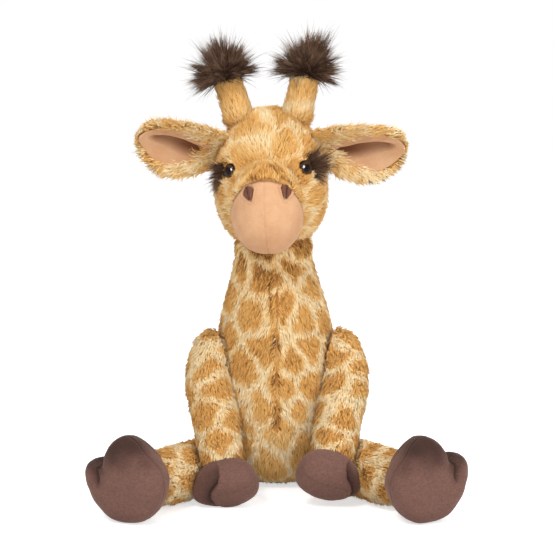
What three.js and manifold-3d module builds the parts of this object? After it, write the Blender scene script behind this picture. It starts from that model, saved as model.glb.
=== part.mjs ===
// A seated plush giraffe: a stuffed body with a long neck, a head that turns on it, floppy arms
// and legs that end in velour hooves, cupped ears, two horns with long tufts, a mane and a tail.
import * as THREE from "three";
import { mergeVertices } from "three/addons/utils/BufferGeometryUtils.js";
import Module from "manifold-3d";

const wasm = await Module();
wasm.setup();

// Lengths are in millimetres, angles in degrees. The toy sits on z = 0 with its origin in the middle
// of its seat, and looks along -y. Its own left side is +x, and side is 1 on the left and -1 on the
// right. A row of shares is a shape chosen by hand, in parts of the sizes that it follows.

// Clearances
const seamGap = 0.4; // between two pieces that are sewn or pressed together
const flatDepth = 0.5; // how much of a soft form is pressed flat where it rests
const overrun = 6; // how far a cutter runs past what it cuts

// Facets
const bodySides = 26;
const limbSides = 18;
const trimSides = 12;
const taperRings = 11;
const capRings = 4;
const skullRings = 13;
const armRings = 14;
const legRings = 12;
const hornRings = 9;
const earRings = 11;
const hoofRings = 9;
const hoofSides = 26;
const tailRings = 10;
const maneRings = 11;
const domeRings = 6;
const outlineSteps = 6;
const swingStep = 10; // degrees between the places where a limb is cleared of its neighbour

// Body and neck, one sewn skin
const bellyHalfWidth = 56;
const bellyHalfDepth = 52;
const bellyHeight = 38;
const seatShift = 9; // the seat lies behind the belly
const neckRadius = 30.5;
const neckFoot = 182; // the neck is round about its own axis from here up
const neckTop = 205;
const neckCapHeight = 15;
const neckLean = 2.8; // how far the neck and head sit towards the toy's right
// [height share from the seat to the belly, swell share, shift share]
const seatShares = [
  [0, 0.5, 1],
  [0.12, 0.74, 0.75],
  [0.3, 0.885, 0.45],
  [0.55, 0.965, 0.2],
  [1, 1, 0],
];
// [height share from the belly to the neck's foot, swell share: 1 is the belly and 0 the neck]
const taperShares = [
  [0, 1],
  [0.12, 0.99],
  [0.24, 0.91],
  [0.37, 0.8],
  [0.5, 0.67],
  [0.64, 0.53],
  [0.78, 0.33],
  [0.9, 0.13],
  [1, 0],
];

// Bag of pellets that weights the seat, and the seam that the body is filled and closed through
const pelletBagHalfWidth = 33;
const pelletBagHalfDepth = 30;
const pelletBagHalfHeight = 11;
const pelletBagFloor = 5; // skin and filling under the bag
const closingSeamWidth = 0.6;
const closingSeamLength = 26;

// Head, in its own frame: the origin is the neck joint, and the head is level and looks along -y
const neckJointHeight = neckTop - neckCapHeight;
const headYaw = -4;
const headRoll = -2.5;
const headHeight = 114;
const headBottom = -2;
const headHalfWidth = 44.3;
const headHalfDepth = 42.5;
// [height share, half width share, front share, back share]
const headShares = [
  [0, 0, 0, 0],
  [0.035, 0.5, 0.5, 0.52],
  [0.1, 0.745, 0.75, 0.73],
  [0.2, 0.915, 0.91, 0.88],
  [0.32, 1, 0.99, 0.97],
  [0.45, 1.01, 0.98, 1],
  [0.57, 0.985, 0.9, 0.99],
  [0.68, 0.92, 0.77, 0.93],
  [0.78, 0.81, 0.61, 0.82],
  [0.87, 0.66, 0.43, 0.67],
  [0.94, 0.47, 0.24, 0.49],
  [0.985, 0.24, 0.04, 0.28],
  [1, 0, -0.12, 0.12],
];

// Muzzle, an egg of peach cloth that comes out of a sleeve of fur
const muzzleForward = 48;
const muzzleHeight = 27; // above the neck joint
const muzzleHalfWidth = 27.8;
const muzzleHalfDepth = 29;
const muzzleDrop = 28.5; // from its middle to its lowest point
const muzzleRise = 39.5; // from its middle to its top, under the fur
const muzzleSeamForward = 47; // the sleeve's edge beside the muzzle's middle
const muzzleSeamTilt = 34.5; // how far the sleeve's edge leans over the muzzle
const sleeveThickness = 2.4;
const bridgeForward = 37;
const bridgeHeight = 50;
const bridgeHalfWidth = 23;
const bridgeHalfDepth = 31;
const bridgeHalfHeight = 20;
const nostrilSpread = 15.6;
const nostrilRise = 21.5;
const nostrilHalfWidth = 4;
const nostrilHalfLength = 6.4;
const nostrilThickness = 1.4;
const nostrilLean = 11; // how far their tops lean outward

// Eyes: a glossy dome on a shank, held by a washer inside the head
const eyeSpread = 30;
const eyeHeight = 62;
const eyeRadius = 6;
const eyeDome = 4.2;
const eyeRim = 0.8;
const shankRadius = 1.7;
const shankLength = 12;
const washerRadius = 7;
const washerThickness = 2;
const washerDepth = 4; // cloth and padding between the eye and its washer

// Patches of long dark fur at the outer corners of the eyes
const lashLength = 30;
const lashHalfWidth = 8.5;
const lashThickness = 7;
const lashSpread = 39;
const lashHeight = 59;
const lashSweep = 52; // how far it sweeps down and back from the eye

// Horns and their tufts
const hornSpread = 20.5;
const hornBack = 2;
const hornBase = 92; // above the neck joint, inside the head
const hornLength = 46;
const hornRadius = 11.6;
const hornLean = 14.5;
const tuftLength = 37;
const tuftRadius = 25;
const tuftSink = 6; // how far the horn's tip stands in the tuft
const tuftLean = 4;
// [length share, radius share]
const hornShares = [
  [0, 1.08],
  [0.35, 1.02],
  [0.7, 0.96],
  [1, 1],
];
const tuftShares = [
  [0, 0.5],
  [0.12, 0.84],
  [0.3, 1],
  [0.5, 0.94],
  [0.72, 0.72],
  [0.9, 0.42],
  [1, 0.24],
];

// Ears, cupped leaves that hang a little forward; the lining lies in the cup
const earRootSpread = 34;
const earRootHeight = 76.5;
const earRootBack = 6;
const earLength = 75;
const earHalfWidth = 24;
const earThickness = 9;
const earCup = 13;
const earRiseLeft = -2.5;
const earRiseRight = 18;
const earForwardLeft = 8;
const earForwardRight = 33;
const earTilt = 28; // how far the lining looks down
const earSwing = 20;
const liningLength = 58;
const liningHalfWidth = 18;
const liningThickness = 3;
const liningStart = 17;
// [length share, width share above the middle line, width share below it]
const earShares = [
  [0, 0.76, 0.62],
  [0.12, 0.82, 0.7],
  [0.3, 0.94, 0.88],
  [0.5, 1, 1],
  [0.68, 0.98, 0.92],
  [0.84, 0.8, 0.66],
  [0.95, 0.5, 0.34],
  [1, 0.1, 0.1],
];
const liningShares = [
  [0, 0.12, 0.12],
  [0.15, 0.5, 0.5],
  [0.35, 0.85, 0.85],
  [0.58, 1, 0.96],
  [0.78, 0.88, 0.74],
  [0.93, 0.54, 0.36],
  [1, 0.12, 0.12],
];

// Arms, from the shoulder to the wrist
const shoulder = { x: 44, y: -2, z: 121 };
const armBow = { x: 54, y: -28, z: 89 };
const elbow = { x: 47.5, y: -52, z: 59 };
const forearm = { x: 43.5, y: -71, z: 38 };
const wrist = { x: 41, y: -87, z: 24 };
const armRadius = 18.6;
const armLift = 80;
// [length share, radius share]
const armShares = [
  [0, 0.92],
  [0.25, 1],
  [0.55, 1],
  [0.8, 0.94],
  [1, 0.86],
];

// Legs, from the hip to the ankle; they lie on the floor
const hip = { x: 41, y: -24 };
const thigh = { x: 60, y: -50 };
const shin = { x: 80, y: -77 };
const ankle = { x: 101, y: -106 };
const legRadius = 22.5;
const legSplay = 35;
// [length share, radius share]
const legShares = [
  [0, 0.8],
  [0.25, 0.95],
  [0.55, 1],
  [0.8, 0.98],
  [1, 0.92],
];

// Hooves: a mitten with a large inner toe and a small outer toe, and a domed sole
const footHalfWidth = 31.5;
const footHalfHeight = 32.5;
const footThickness = 46;
const footPlace = { x: 108, y: -120 };
const footTurn = 24; // how far the sole looks outward
const footRollLeft = 0; // how far the toes lean outward
const footRollRight = 9;
const handHalfWidth = 21;
const handHalfHeight = 24.5;
const handThickness = 33;
const handPlace = { x: 39.5, y: -87 };
const handTurn = -4;
const handDip = 40; // how far the sole looks down
const handRoll = 100; // the toes point outward and a little down
const handLiftLeft = 5; // how far the left hand lies above the floor, on the belly
const handLiftRight = 0;
// The sole's outline: [share of the half width towards the small toe, share of the half height]
const soleShares = [
  [1, 0],
  [0.99, 0.27],
  [0.84, 0.46],
  [0.62, 0.48],
  [0.42, 0.2],
  [0.27, 0.56],
  [0.06, 0.9],
  [-0.14, 1],
  [-0.38, 0.88],
  [-0.62, 0.58],
  [-0.9, 0.26],
  [-1, -0.1],
  [-0.88, -0.5],
  [-0.62, -0.82],
  [-0.3, -0.98],
  [0.06, -1],
  [0.42, -0.85],
  [0.78, -0.46],
];
const cleftShare = 0.35; // the thickness share over which the round ankle takes on the sole's outline
// [thickness share from the ankle to the sole, outline share]
const hoofShares = [
  [0, 0.5],
  [0.1, 0.68],
  [0.25, 0.84],
  [0.45, 0.96],
  [0.65, 1],
  [0.8, 0.95],
  [0.91, 0.8],
  [0.98, 0.5],
  [1, 0],
];

// Tail, from the closing seam down to the floor, and its tuft
const tailRoot = { y: 51, z: 47 };
const tailBend = { y: 64, z: 36 };
const tailFall = { y: 76, z: 20 };
const tailEnd = { y: 86, z: 10 };
const tailRadius = 5.5;
const tailShares = [
  [0, 1],
  [1, 1],
];
const tailLift = 75;
const tailTuftLength = 24;
const tailTuftRadius = 8.5;

// Mane, a strip of long pile down the back of the head and neck
const maneHalfWidth = 6.5;
const maneHeight = 9;
const neckManeBottom = 104;
const neckManeTop = 184;
const headManeBottom = 17; // above the neck joint
const headManeTop = 97;

// Colours and finishes
const cloths = {
  fur: { color: "#cf9c58", roughness: 0.95 },
  peach: { color: "#ecba8c", roughness: 0.85 },
  velour: { color: "#86655a", roughness: 0.8 },
  longPile: { color: "#3b2a20", roughness: 0.75 },
  stitching: { color: "#80503a", roughness: 0.7 },
  eye: { color: "#0d0a09", roughness: 0.08 },
  plastic: { color: "#e8e6e0", roughness: 0.45 },
  bag: { color: "#d9d5cb", roughness: 0.9 },
};

// Axes, points, frames and smooth tables

const xAxis = new THREE.Vector3(1, 0, 0);
const yAxis = new THREE.Vector3(0, 1, 0);
const zAxis = new THREE.Vector3(0, 0, 1);

function point({ x = 0, y = 0, z = 0 }, side = 1) {
  return new THREE.Vector3(side * x, y, z);
}

// A frame at a place, with its z axis along a direction and its y axis as near as can be to up.
function frameAt(place, direction, up) {
  const z = direction.clone().normalize();
  const x = new THREE.Vector3().crossVectors(up, z).normalize();
  const y = new THREE.Vector3().crossVectors(z, x);
  return new THREE.Matrix4().makeBasis(x, y, z).setPosition(place);
}

// The value in a column of a table of shares, on a smooth curve through its rows.
function smooth(rows, share, column = 1) {
  const last = rows.length - 1;
  const found = rows.findIndex((row) => row[0] >= share);
  const i = Math.min(Math.max(found, 1), last);
  const slope = (k) => {
    const before = rows[Math.max(k - 1, 0)];
    const after = rows[Math.min(k + 1, last)];
    return (after[column] - before[column]) / (after[0] - before[0]);
  };
  const [a, b] = [rows[i - 1], rows[i]];
  const run = b[0] - a[0];
  const t = (share - a[0]) / run;
  const lead = a[column] * (1 + 2 * t) * (1 - t) ** 2 + b[column] * t * t * (3 - 2 * t);
  return lead + slope(i - 1) * run * t * (1 - t) ** 2 - slope(i) * run * t * t * (1 - t);
}

// Shares from 0 to 1 that crowd together at both ends, where a form is round.
function crowded(count) {
  return Array.from({ length: count + 1 }, (_, i) => (1 - Math.cos((Math.PI * i) / count)) / 2);
}

function degrees(angle) {
  return THREE.MathUtils.degToRad(angle);
}

// Skins

// A closed skin over a row of rings, each a list of as many points, with a cap at either end.
function skin(rings) {
  const sides = rings[0].length;
  const middle = (ring) =>
    ring.reduce((sum, p) => sum.add(p), new THREE.Vector3()).divideScalar(sides);
  const points = [middle(rings[0]), ...rings.flat(), middle(rings[rings.length - 1])];
  const faces = [];
  for (let k = 0; k < sides; k++) {
    const next = (k + 1) % sides;
    for (let r = 0; r < rings.length - 1; r++) {
      const here = 1 + r * sides;
      const there = here + sides;
      faces.push(here + k, here + next, there + next, here + k, there + next, there + k);
    }
    const lastRing = 1 + (rings.length - 1) * sides;
    faces.push(0, 1 + next, 1 + k, points.length - 1, lastRing + k, lastRing + next);
  }
  const geometry = new THREE.BufferGeometry().setFromPoints(points);
  geometry.setIndex(faces);
  return facingOut(geometry);
}

// A ring of an ellipse in the plane of two directions.
function ellipse(centre, across, through, halfAcross, halfThrough, sides) {
  return Array.from({ length: sides }, (_, k) => {
    const angle = (2 * Math.PI * k) / sides;
    return centre
      .clone()
      .addScaledVector(across, halfAcross * Math.cos(angle))
      .addScaledVector(through, halfThrough * Math.sin(angle));
  });
}

// A mirrored form has its faces turned round, and they are turned back here.
function facingOut(geometry) {
  const p = geometry.getAttribute("position");
  const index = geometry.getIndex().array;
  const [a, b, c] = [new THREE.Vector3(), new THREE.Vector3(), new THREE.Vector3()];
  let volume = 0;
  for (let i = 0; i < index.length; i += 3) {
    a.fromBufferAttribute(p, index[i]);
    b.fromBufferAttribute(p, index[i + 1]);
    c.fromBufferAttribute(p, index[i + 2]);
    volume += a.dot(b.cross(c));
  }
  if (volume < 0) {
    for (let i = 0; i < index.length; i += 3) {
      [index[i + 1], index[i + 2]] = [index[i + 2], index[i + 1]];
    }
  }
  return geometry;
}

// The same form, lowered so that it rests on the floor.
function rested(form) {
  form.computeBoundingBox();
  return form.translate(0, 0, -flatDepth - form.boundingBox.min.z);
}

// The same form with its skin moved out by a clearance.
function grown(form, clearance) {
  const out = form.clone();
  out.computeVertexNormals();
  const p = out.getAttribute("position");
  const n = out.getAttribute("normal");
  for (let i = 0; i < p.count; i++) {
    const [x, y, z] = [n.getX(i), n.getY(i), n.getZ(i)];
    p.setXYZ(i, p.getX(i) + clearance * x, p.getY(i) + clearance * y, p.getZ(i) + clearance * z);
  }
  out.deleteAttribute("normal");
  return out;
}

// A limb or a horn: round, with rounded ends, along a curve. Its radius follows a table of shares.
function limb(places, radius, shares, sides, rings, side) {
  const path = new THREE.CatmullRomCurve3(places);
  const length = path.getLength();
  const ends = radius / length;
  const round = (share) => {
    const reach = Math.min(share, 1 - share) / ends;
    return reach >= 1 ? 1 : Math.sqrt(Math.max(1 - (1 - reach) ** 2, 0));
  };
  const outward = xAxis.clone().multiplyScalar(side);
  const shareList = crowded(rings).slice(1, -1);
  return skin(
    shareList.map((share) => {
      const along = path.getTangentAt(share);
      const across = outward.clone().addScaledVector(along, -along.dot(outward)).normalize();
      const through = new THREE.Vector3().crossVectors(along, across);
      const r = radius * smooth(shares, share) * round(share);
      return ellipse(path.getPointAt(share), across, through, r, r, sides);
    }),
  );
}

// An ellipsoid whose upper and lower halves may differ in height.
function egg(halfWidth, halfDepth, rise, drop, sides) {
  const geometry = new THREE.SphereGeometry(1, sides, sides / 2).rotateX(Math.PI / 2);
  const p = geometry.getAttribute("position");
  for (let i = 0; i < p.count; i++) {
    const z = p.getZ(i);
    p.setXYZ(i, p.getX(i) * halfWidth, p.getY(i) * halfDepth, z * (z > 0 ? rise : drop));
  }
  return welded(geometry);
}

function welded(geometry) {
  geometry.deleteAttribute("normal");
  geometry.deleteAttribute("uv");
  return facingOut(mergeVertices(geometry));
}

// Solids

function solid(geometry) {
  return new wasm.Manifold(
    new wasm.Mesh({
      numProp: 3,
      vertProperties: geometry.getAttribute("position").array,
      triVerts: new Uint32Array(geometry.getIndex().array),
    }),
  );
}

function cutBy(body, ...cutters) {
  return cutters.reduce((left, cutter) => left.subtract(solid(cutter)), body);
}

// What is left of a limb when its neighbour is kept clear of it at every place of its swing.
function clearOfSwing(body, neighbour, pivot, axis, from, to) {
  const steps = Math.max(Math.ceil((to - from) / swingStep), 1);
  let left = body;
  for (let i = 0; i <= steps; i++) {
    const angle = degrees(from + ((to - from) * i) / steps);
    const back = new THREE.Matrix4()
      .makeTranslation(pivot.x, pivot.y, pivot.z)
      .multiply(new THREE.Matrix4().makeRotationAxis(axis, -angle))
      .multiply(new THREE.Matrix4().makeTranslation(-pivot.x, -pivot.y, -pivot.z));
    left = cutBy(left, neighbour.clone().applyMatrix4(back));
  }
  return left;
}

// The room behind a plane, as a box that reaches further than the toy.
function roomBehind(place, outward, up) {
  const reach = neckTop;
  const box = welded(new THREE.BoxGeometry(2 * reach, 2 * reach, reach));
  box.translate(0, 0, -reach / 2);
  return box.applyMatrix4(frameAt(place, outward, up));
}

// The floor's room, up to the face that the toy rests on.
function underFloor() {
  return roomBehind(new THREE.Vector3(), zAxis, yAxis);
}

function meshOf(name, body, cloth, frame = new THREE.Matrix4()) {
  const made = body.getMesh();
  const places = new Float32Array(made.numVert * 3);
  for (let i = 0; i < made.numVert; i++) {
    places.set(made.vertProperties.subarray(i * made.numProp, i * made.numProp + 3), 3 * i);
  }
  const geometry = new THREE.BufferGeometry();
  geometry.setAttribute("position", new THREE.BufferAttribute(places, 3));
  geometry.setIndex(new THREE.BufferAttribute(made.triVerts, 1));
  geometry.applyMatrix4(frame.clone().invert());
  geometry.computeVertexNormals();
  const mesh = new THREE.Mesh(geometry, new THREE.MeshStandardMaterial({ ...cloth, metalness: 0 }));
  mesh.name = name;
  return mesh;
}

// Body, pellet bag and neck

function bodyForm() {
  const rings = [];
  const addRing = (z, halfWidth, halfDepth, shift, lean) => {
    const centre = new THREE.Vector3(-lean, shift, z);
    rings.push(ellipse(centre, xAxis, yAxis, halfWidth, halfDepth, bodySides));
  };
  for (const [share] of seatShares.slice(0, -1)) {
    const swell = smooth(seatShares, share);
    const shift = seatShift * smooth(seatShares, share, 2);
    const z = (bellyHeight + flatDepth) * share - flatDepth;
    addRing(z, bellyHalfWidth * swell, bellyHalfDepth * swell, shift, 0);
  }
  for (let i = 0; i <= taperRings; i++) {
    const share = i / taperRings;
    const swell = smooth(taperShares, share);
    const z = bellyHeight + (neckFoot - bellyHeight) * share;
    const halfWidth = neckRadius + (bellyHalfWidth - neckRadius) * swell;
    const halfDepth = neckRadius + (bellyHalfDepth - neckRadius) * swell;
    addRing(z, halfWidth, halfDepth, 0, neckLean * (1 - swell));
  }
  for (let i = 0; i < capRings; i++) {
    const angle = (Math.PI / 2) * (i / capRings);
    const r = neckRadius * Math.cos(angle);
    addRing(neckTop - neckCapHeight * (1 - Math.sin(angle)), r, r, 0, neckLean);
  }
  return skin(rings);
}

function pelletBagForm() {
  const bag = egg(
    pelletBagHalfWidth,
    pelletBagHalfDepth,
    pelletBagHalfHeight,
    pelletBagHalfHeight,
    limbSides,
  );
  return bag.translate(0, seatShift / 2, pelletBagFloor + pelletBagHalfHeight);
}

// A slit in the middle of the back, from the bag's room to the outside.
function closingSeam() {
  const reach = bellyHalfDepth + seatShift + overrun;
  const slit = welded(new THREE.BoxGeometry(closingSeamWidth, reach, closingSeamLength));
  return slit.translate(0, reach / 2, pelletBagFloor + closingSeamLength / 2);
}

function bodySolid() {
  return cutBy(
    solid(bodyForm()),
    underFloor(),
    grown(pelletBagForm(), seamGap),
    closingSeam(),
  );
}

// Head

const headFrame = new THREE.Matrix4().makeRotationFromEuler(
  new THREE.Euler(0, degrees(headRoll), degrees(headYaw), "ZYX"),
);
headFrame.setPosition(-neckLean, 0, neckJointHeight);

function skullForm() {
  return skin(
    crowded(skullRings)
      .slice(1, -1)
      .map((share) => {
        const front = headHalfDepth * smooth(headShares, share, 2);
        const back = headHalfDepth * smooth(headShares, share, 3);
        const centre = new THREE.Vector3(0, (back - front) / 2, headBottom + headHeight * share);
        const halfWidth = headHalfWidth * smooth(headShares, share);
        return ellipse(centre, xAxis, yAxis, halfWidth, (front + back) / 2, bodySides);
      }),
  );
}

function muzzleForm() {
  const form = egg(muzzleHalfWidth, muzzleHalfDepth, muzzleRise, muzzleDrop, limbSides);
  return form.translate(0, -muzzleForward, muzzleHeight);
}

function bridgeForm() {
  const form = egg(
    bridgeHalfWidth,
    bridgeHalfDepth,
    bridgeHalfHeight,
    bridgeHalfHeight,
    limbSides,
  );
  return form.translate(0, -bridgeForward, bridgeHeight);
}

// The room behind the edge of the sleeve of fur, moved forward by a clearance.
function behindMuzzleSeam(clearance) {
  const tilt = degrees(muzzleSeamTilt);
  const outward = new THREE.Vector3(0, -Math.cos(tilt), -Math.sin(tilt));
  const place = new THREE.Vector3(0, -muzzleSeamForward, muzzleHeight);
  place.addScaledVector(outward, clearance);
  return roomBehind(place, outward, zAxis);
}

// The skull with the bridge of the nose and the sleeve of fur round the muzzle.
function headForm() {
  const sleeve = solid(grown(muzzleForm(), sleeveThickness)).add(solid(bridgeForm()));
  return solid(skullForm()).add(sleeve.intersect(solid(behindMuzzleSeam(0))));
}

// Where a line across the head at a height and a spread meets the skull's face, and the way it looks.
function onFace(spread, height, side) {
  const share = (height - headBottom) / headHeight;
  const halfWidth = headHalfWidth * smooth(headShares, share);
  const front = headHalfDepth * smooth(headShares, share, 2);
  const back = headHalfDepth * smooth(headShares, share, 3);
  const half = (front + back) / 2;
  const dip = Math.sqrt(1 - (spread / halfWidth) ** 2);
  const place = new THREE.Vector3(side * spread, (back - front) / 2 - half * dip, height);
  const outward = new THREE.Vector3((side * spread) / halfWidth ** 2, -dip / half, 0).normalize();
  return frameAt(place, outward, zAxis);
}

function revolved(profile, sides) {
  const points = profile.map(([r, z]) => new THREE.Vector2(r, z));
  return welded(new THREE.LatheGeometry(points, sides).rotateX(Math.PI / 2));
}

// A dome with a narrow rim, and the shank behind it. The back of the rim is at z = 0.
function eyeForm(clearance) {
  const dome = Array.from({ length: domeRings }, (_, i) => {
    const angle = (Math.PI / 2) * (i / domeRings);
    return [eyeRadius * Math.cos(angle), eyeRim + (eyeDome - eyeRim) * Math.sin(angle)];
  });
  return revolved(
    [
      [0, -shankLength - clearance],
      [shankRadius + clearance, -shankLength - clearance],
      [shankRadius + clearance, 0],
      [eyeRadius, 0],
      ...dome,
      [0, eyeDome],
    ],
    trimSides,
  );
}

// The washer's place behind the eye, as the heights of its two faces.
function washerFaces(clearance) {
  const front = -washerDepth + clearance;
  return [front - washerThickness - 2 * clearance, front];
}

// A ring that grips the shank.
function washerForm() {
  const [low, high] = washerFaces(0);
  const hole = shankRadius + seamGap;
  const profile = [
    [hole, low],
    [washerRadius, low],
    [washerRadius, high],
    [hole, high],
    [hole, low],
  ];
  return revolved(profile, trimSides);
}

// The room that the washer takes up in the head.
function washerRoom() {
  const [low, high] = washerFaces(seamGap);
  const radius = washerRadius + seamGap;
  const profile = [
    [0, low],
    [radius, low],
    [radius, high],
    [0, high],
  ];
  return revolved(profile, trimSides);
}

function eyeFrame(side) {
  const frame = onFace(eyeSpread, eyeHeight, side);
  return frame.multiply(new THREE.Matrix4().makeTranslation(0, 0, seamGap));
}

function nostrilForm(side) {
  const forward =
    muzzleHalfDepth *
    Math.sqrt(1 - (nostrilSpread / muzzleHalfWidth) ** 2 - (nostrilRise / muzzleRise) ** 2);
  const place = new THREE.Vector3(
    side * nostrilSpread,
    -muzzleForward - forward,
    muzzleHeight + nostrilRise,
  );
  const outward = new THREE.Vector3(
    (side * nostrilSpread) / muzzleHalfWidth ** 2,
    -forward / muzzleHalfDepth ** 2,
    nostrilRise / muzzleRise ** 2,
  );
  const form = egg(
    nostrilHalfWidth,
    nostrilHalfLength,
    nostrilThickness + seamGap,
    nostrilThickness + seamGap,
    trimSides,
  );
  form.rotateZ(-side * degrees(nostrilLean));
  return form.applyMatrix4(frameAt(place, outward, zAxis));
}

// A leaf of fur that starts at the eye's outer corner and sweeps down and back.
function lashForm(side) {
  const form = egg(
    lashHalfWidth,
    lashLength / 2,
    lashThickness / 2,
    lashThickness / 2,
    trimSides,
  );
  const face = onFace(lashSpread, lashHeight, side);
  form.rotateZ(-side * degrees(lashSweep));
  return form.applyMatrix4(face);
}

// Horns and tufts

function hornFrame(side) {
  const lean = degrees(hornLean);
  const direction = new THREE.Vector3(side * Math.sin(lean), 0, Math.cos(lean));
  const place = new THREE.Vector3(side * hornSpread, hornBack, hornBase);
  return frameAt(place, direction, yAxis);
}

function hornForm(side) {
  const places = [0, hornLength / 2, hornLength].map((z) => new THREE.Vector3(0, 0, z));
  const form = limb(places, hornRadius, hornShares, trimSides, hornRings, side);
  return form.applyMatrix4(hornFrame(side));
}

// A fan of long fur that opens from the horn's tip.
function tuftForm(side) {
  const rows = tuftShares.map(([share, r]) => [tuftRadius * r, tuftLength * share]);
  const form = revolved([[0, 0], ...rows, [0, tuftLength]], trimSides);
  const lean = degrees(tuftLean);
  const direction = new THREE.Vector3(side * Math.sin(lean), 0, Math.cos(lean));
  const start = new THREE.Vector3(0, 0, hornLength - tuftSink).applyMatrix4(hornFrame(side));
  return form.applyMatrix4(frameAt(start, direction, yAxis));
}

// Ears

// A leaf along x that is cupped: its edges come forward by the cup at its widest.
function leaf(start, length, halfWidth, shares, thickness, lift, sides, side) {
  return skin(
    crowded(earRings).map((share) => {
      const above = side * halfWidth * smooth(shares, share, 1);
      const below = side * halfWidth * smooth(shares, share, 2);
      return Array.from({ length: sides }, (_, k) => {
        const angle = (2 * Math.PI * k) / sides;
        const across = Math.cos(angle) * (Math.cos(angle) > 0 ? above : below);
        const bend = earCup * (across / earHalfWidth) ** 2;
        const through = (thickness / 2) * Math.sin(angle) + lift + bend;
        return new THREE.Vector3(start + length * share, across, through);
      });
    }),
  );
}

// The ear's frame on the head: x runs to the tip, z looks out of the cup.
function earFrame(side) {
  const tilt = degrees(earTilt);
  const [rise, forward] = side > 0 ? [earRiseLeft, earForwardLeft] : [earRiseRight, earForwardRight];
  const along = new THREE.Vector3(side * earLength, -forward, rise).normalize();
  const facing = new THREE.Vector3(0, -Math.cos(tilt), -Math.sin(tilt));
  const wide = new THREE.Vector3().crossVectors(facing, along).normalize();
  const outward = new THREE.Vector3().crossVectors(along, wide);
  const root = new THREE.Vector3(side * earRootSpread, earRootBack, earRootHeight);
  return new THREE.Matrix4().makeBasis(along, wide, outward).setPosition(root);
}

function earForm(side) {
  const form = leaf(0, earLength, earHalfWidth, earShares, earThickness, 0, limbSides, side);
  return facingOut(form.applyMatrix4(earFrame(side)));
}

function liningForm(side) {
  const lift = earThickness / 2;
  const form = leaf(
    liningStart,
    liningLength,
    liningHalfWidth,
    liningShares,
    liningThickness,
    lift,
    trimSides,
    side,
  );
  return facingOut(form.applyMatrix4(earFrame(side)));
}

// Arms, legs and hooves

function armForm(side) {
  const places = [shoulder, armBow, elbow, forearm, wrist].map((place) => point(place, side));
  return limb(places, armRadius, armShares, limbSides, armRings, side);
}

function legForm(side) {
  const places = [hip, thigh, shin, ankle].map((place) => point({ ...place, z: legRadius }, side));
  return rested(limb(places, legRadius, legShares, limbSides, legRings, side));
}

// A hoof in its own frame: x towards the small toe, y towards the toes' tips, z out of the sole.
function hoof(halfWidth, halfHeight, thickness) {
  const outline = new THREE.CatmullRomCurve3(
    soleShares.map(([x, y]) => new THREE.Vector3(x * halfWidth, y * halfHeight, 0)),
    true,
  );
  const points = outline.getPoints(hoofSides).slice(0, -1);
  const rings = crowded(hoofRings).slice(0, -1);
  return skin(
    rings.map((share) => {
      const scale = smooth(hoofShares, share);
      const z = thickness * (share - 1 / 2);
      const round = ellipse(new THREE.Vector3(), xAxis, yAxis, halfWidth, halfHeight, hoofSides);
      return points.map((p, k) => {
        const { x, y } = round[k].lerp(p, Math.min(share / cleftShare, 1));
        return new THREE.Vector3(x * scale, y * scale, z);
      });
    }),
  );
}

function footForm(side) {
  const turn = degrees(footTurn);
  const outward = new THREE.Vector3(side * Math.sin(turn), -Math.cos(turn), 0);
  const form = hoof(side * footHalfWidth, footHalfHeight, footThickness);
  form.rotateZ(-side * degrees(side > 0 ? footRollLeft : footRollRight));
  form.applyMatrix4(frameAt(point(footPlace, side), outward, zAxis));
  return rested(facingOut(form));
}

function handForm(side) {
  const [turn, dip] = [degrees(handTurn), degrees(handDip)];
  const outward = new THREE.Vector3(
    side * Math.sin(turn) * Math.cos(dip),
    -Math.cos(turn) * Math.cos(dip),
    -Math.sin(dip),
  );
  const form = hoof(side * handHalfWidth, handHalfHeight, handThickness);
  form.rotateZ(-side * degrees(handRoll));
  form.applyMatrix4(frameAt(point(handPlace, side), outward, zAxis));
  return rested(facingOut(form)).translate(0, 0, side > 0 ? handLiftLeft : handLiftRight);
}

// Tail and mane

function tailForm() {
  const places = [tailRoot, tailBend, tailFall, tailEnd].map((place) => point(place));
  return limb(places, tailRadius, tailShares, trimSides, tailRings, 1);
}

function tailTuftForm() {
  const form = egg(tailTuftRadius, tailTuftLength / 2, tailTuftRadius, tailTuftRadius, trimSides);
  return rested(form.translate(0, tailEnd.y + tailTuftLength / 2 - tailRadius, 0));
}

// A strip on the middle of a back, along a row of points.
function maneForm(outline) {
  const path = new THREE.CatmullRomCurve3(outline);
  return skin(
    crowded(maneRings)
      .slice(1, -1)
      .map((share) => {
        const out = new THREE.Vector3().crossVectors(xAxis, path.getTangentAt(share));
        const swell = Math.sqrt(Math.sin(Math.PI * share));
        const centre = path.getPointAt(share);
        return ellipse(centre, xAxis, out, maneHalfWidth * swell, maneHeight * swell, trimSides);
      }),
  );
}

function neckManeForm() {
  const outline = Array.from({ length: outlineSteps + 1 }, (_, i) => {
    const z = neckManeBottom + ((neckManeTop - neckManeBottom) * i) / outlineSteps;
    const swell = smooth(taperShares, Math.min((z - bellyHeight) / (neckFoot - bellyHeight), 1));
    const back = neckRadius + (bellyHalfDepth - neckRadius) * swell;
    return new THREE.Vector3(-neckLean * (1 - swell), back, z);
  });
  return maneForm(outline);
}

function headManeForm() {
  const outline = Array.from({ length: outlineSteps + 1 }, (_, i) => {
    const z = headManeBottom + ((headManeTop - headManeBottom) * i) / outlineSteps;
    const back = headHalfDepth * smooth(headShares, (z - headBottom) / headHeight, 3);
    return new THREE.Vector3(0, back, z);
  });
  return maneForm(outline);
}

// The whole toy

const toy = new THREE.Group();

// A group whose frame is a joint's, so that the pieces in it turn together.
function jointGroup(parent, frame) {
  const group = new THREE.Group();
  group.applyMatrix4(frame);
  parent.add(group);
  return group;
}

function at(place) {
  return new THREE.Matrix4().makeTranslation(place.x, place.y, place.z);
}

const body = bodySolid();
const bodyClear = grown(bodyForm(), seamGap);

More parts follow.
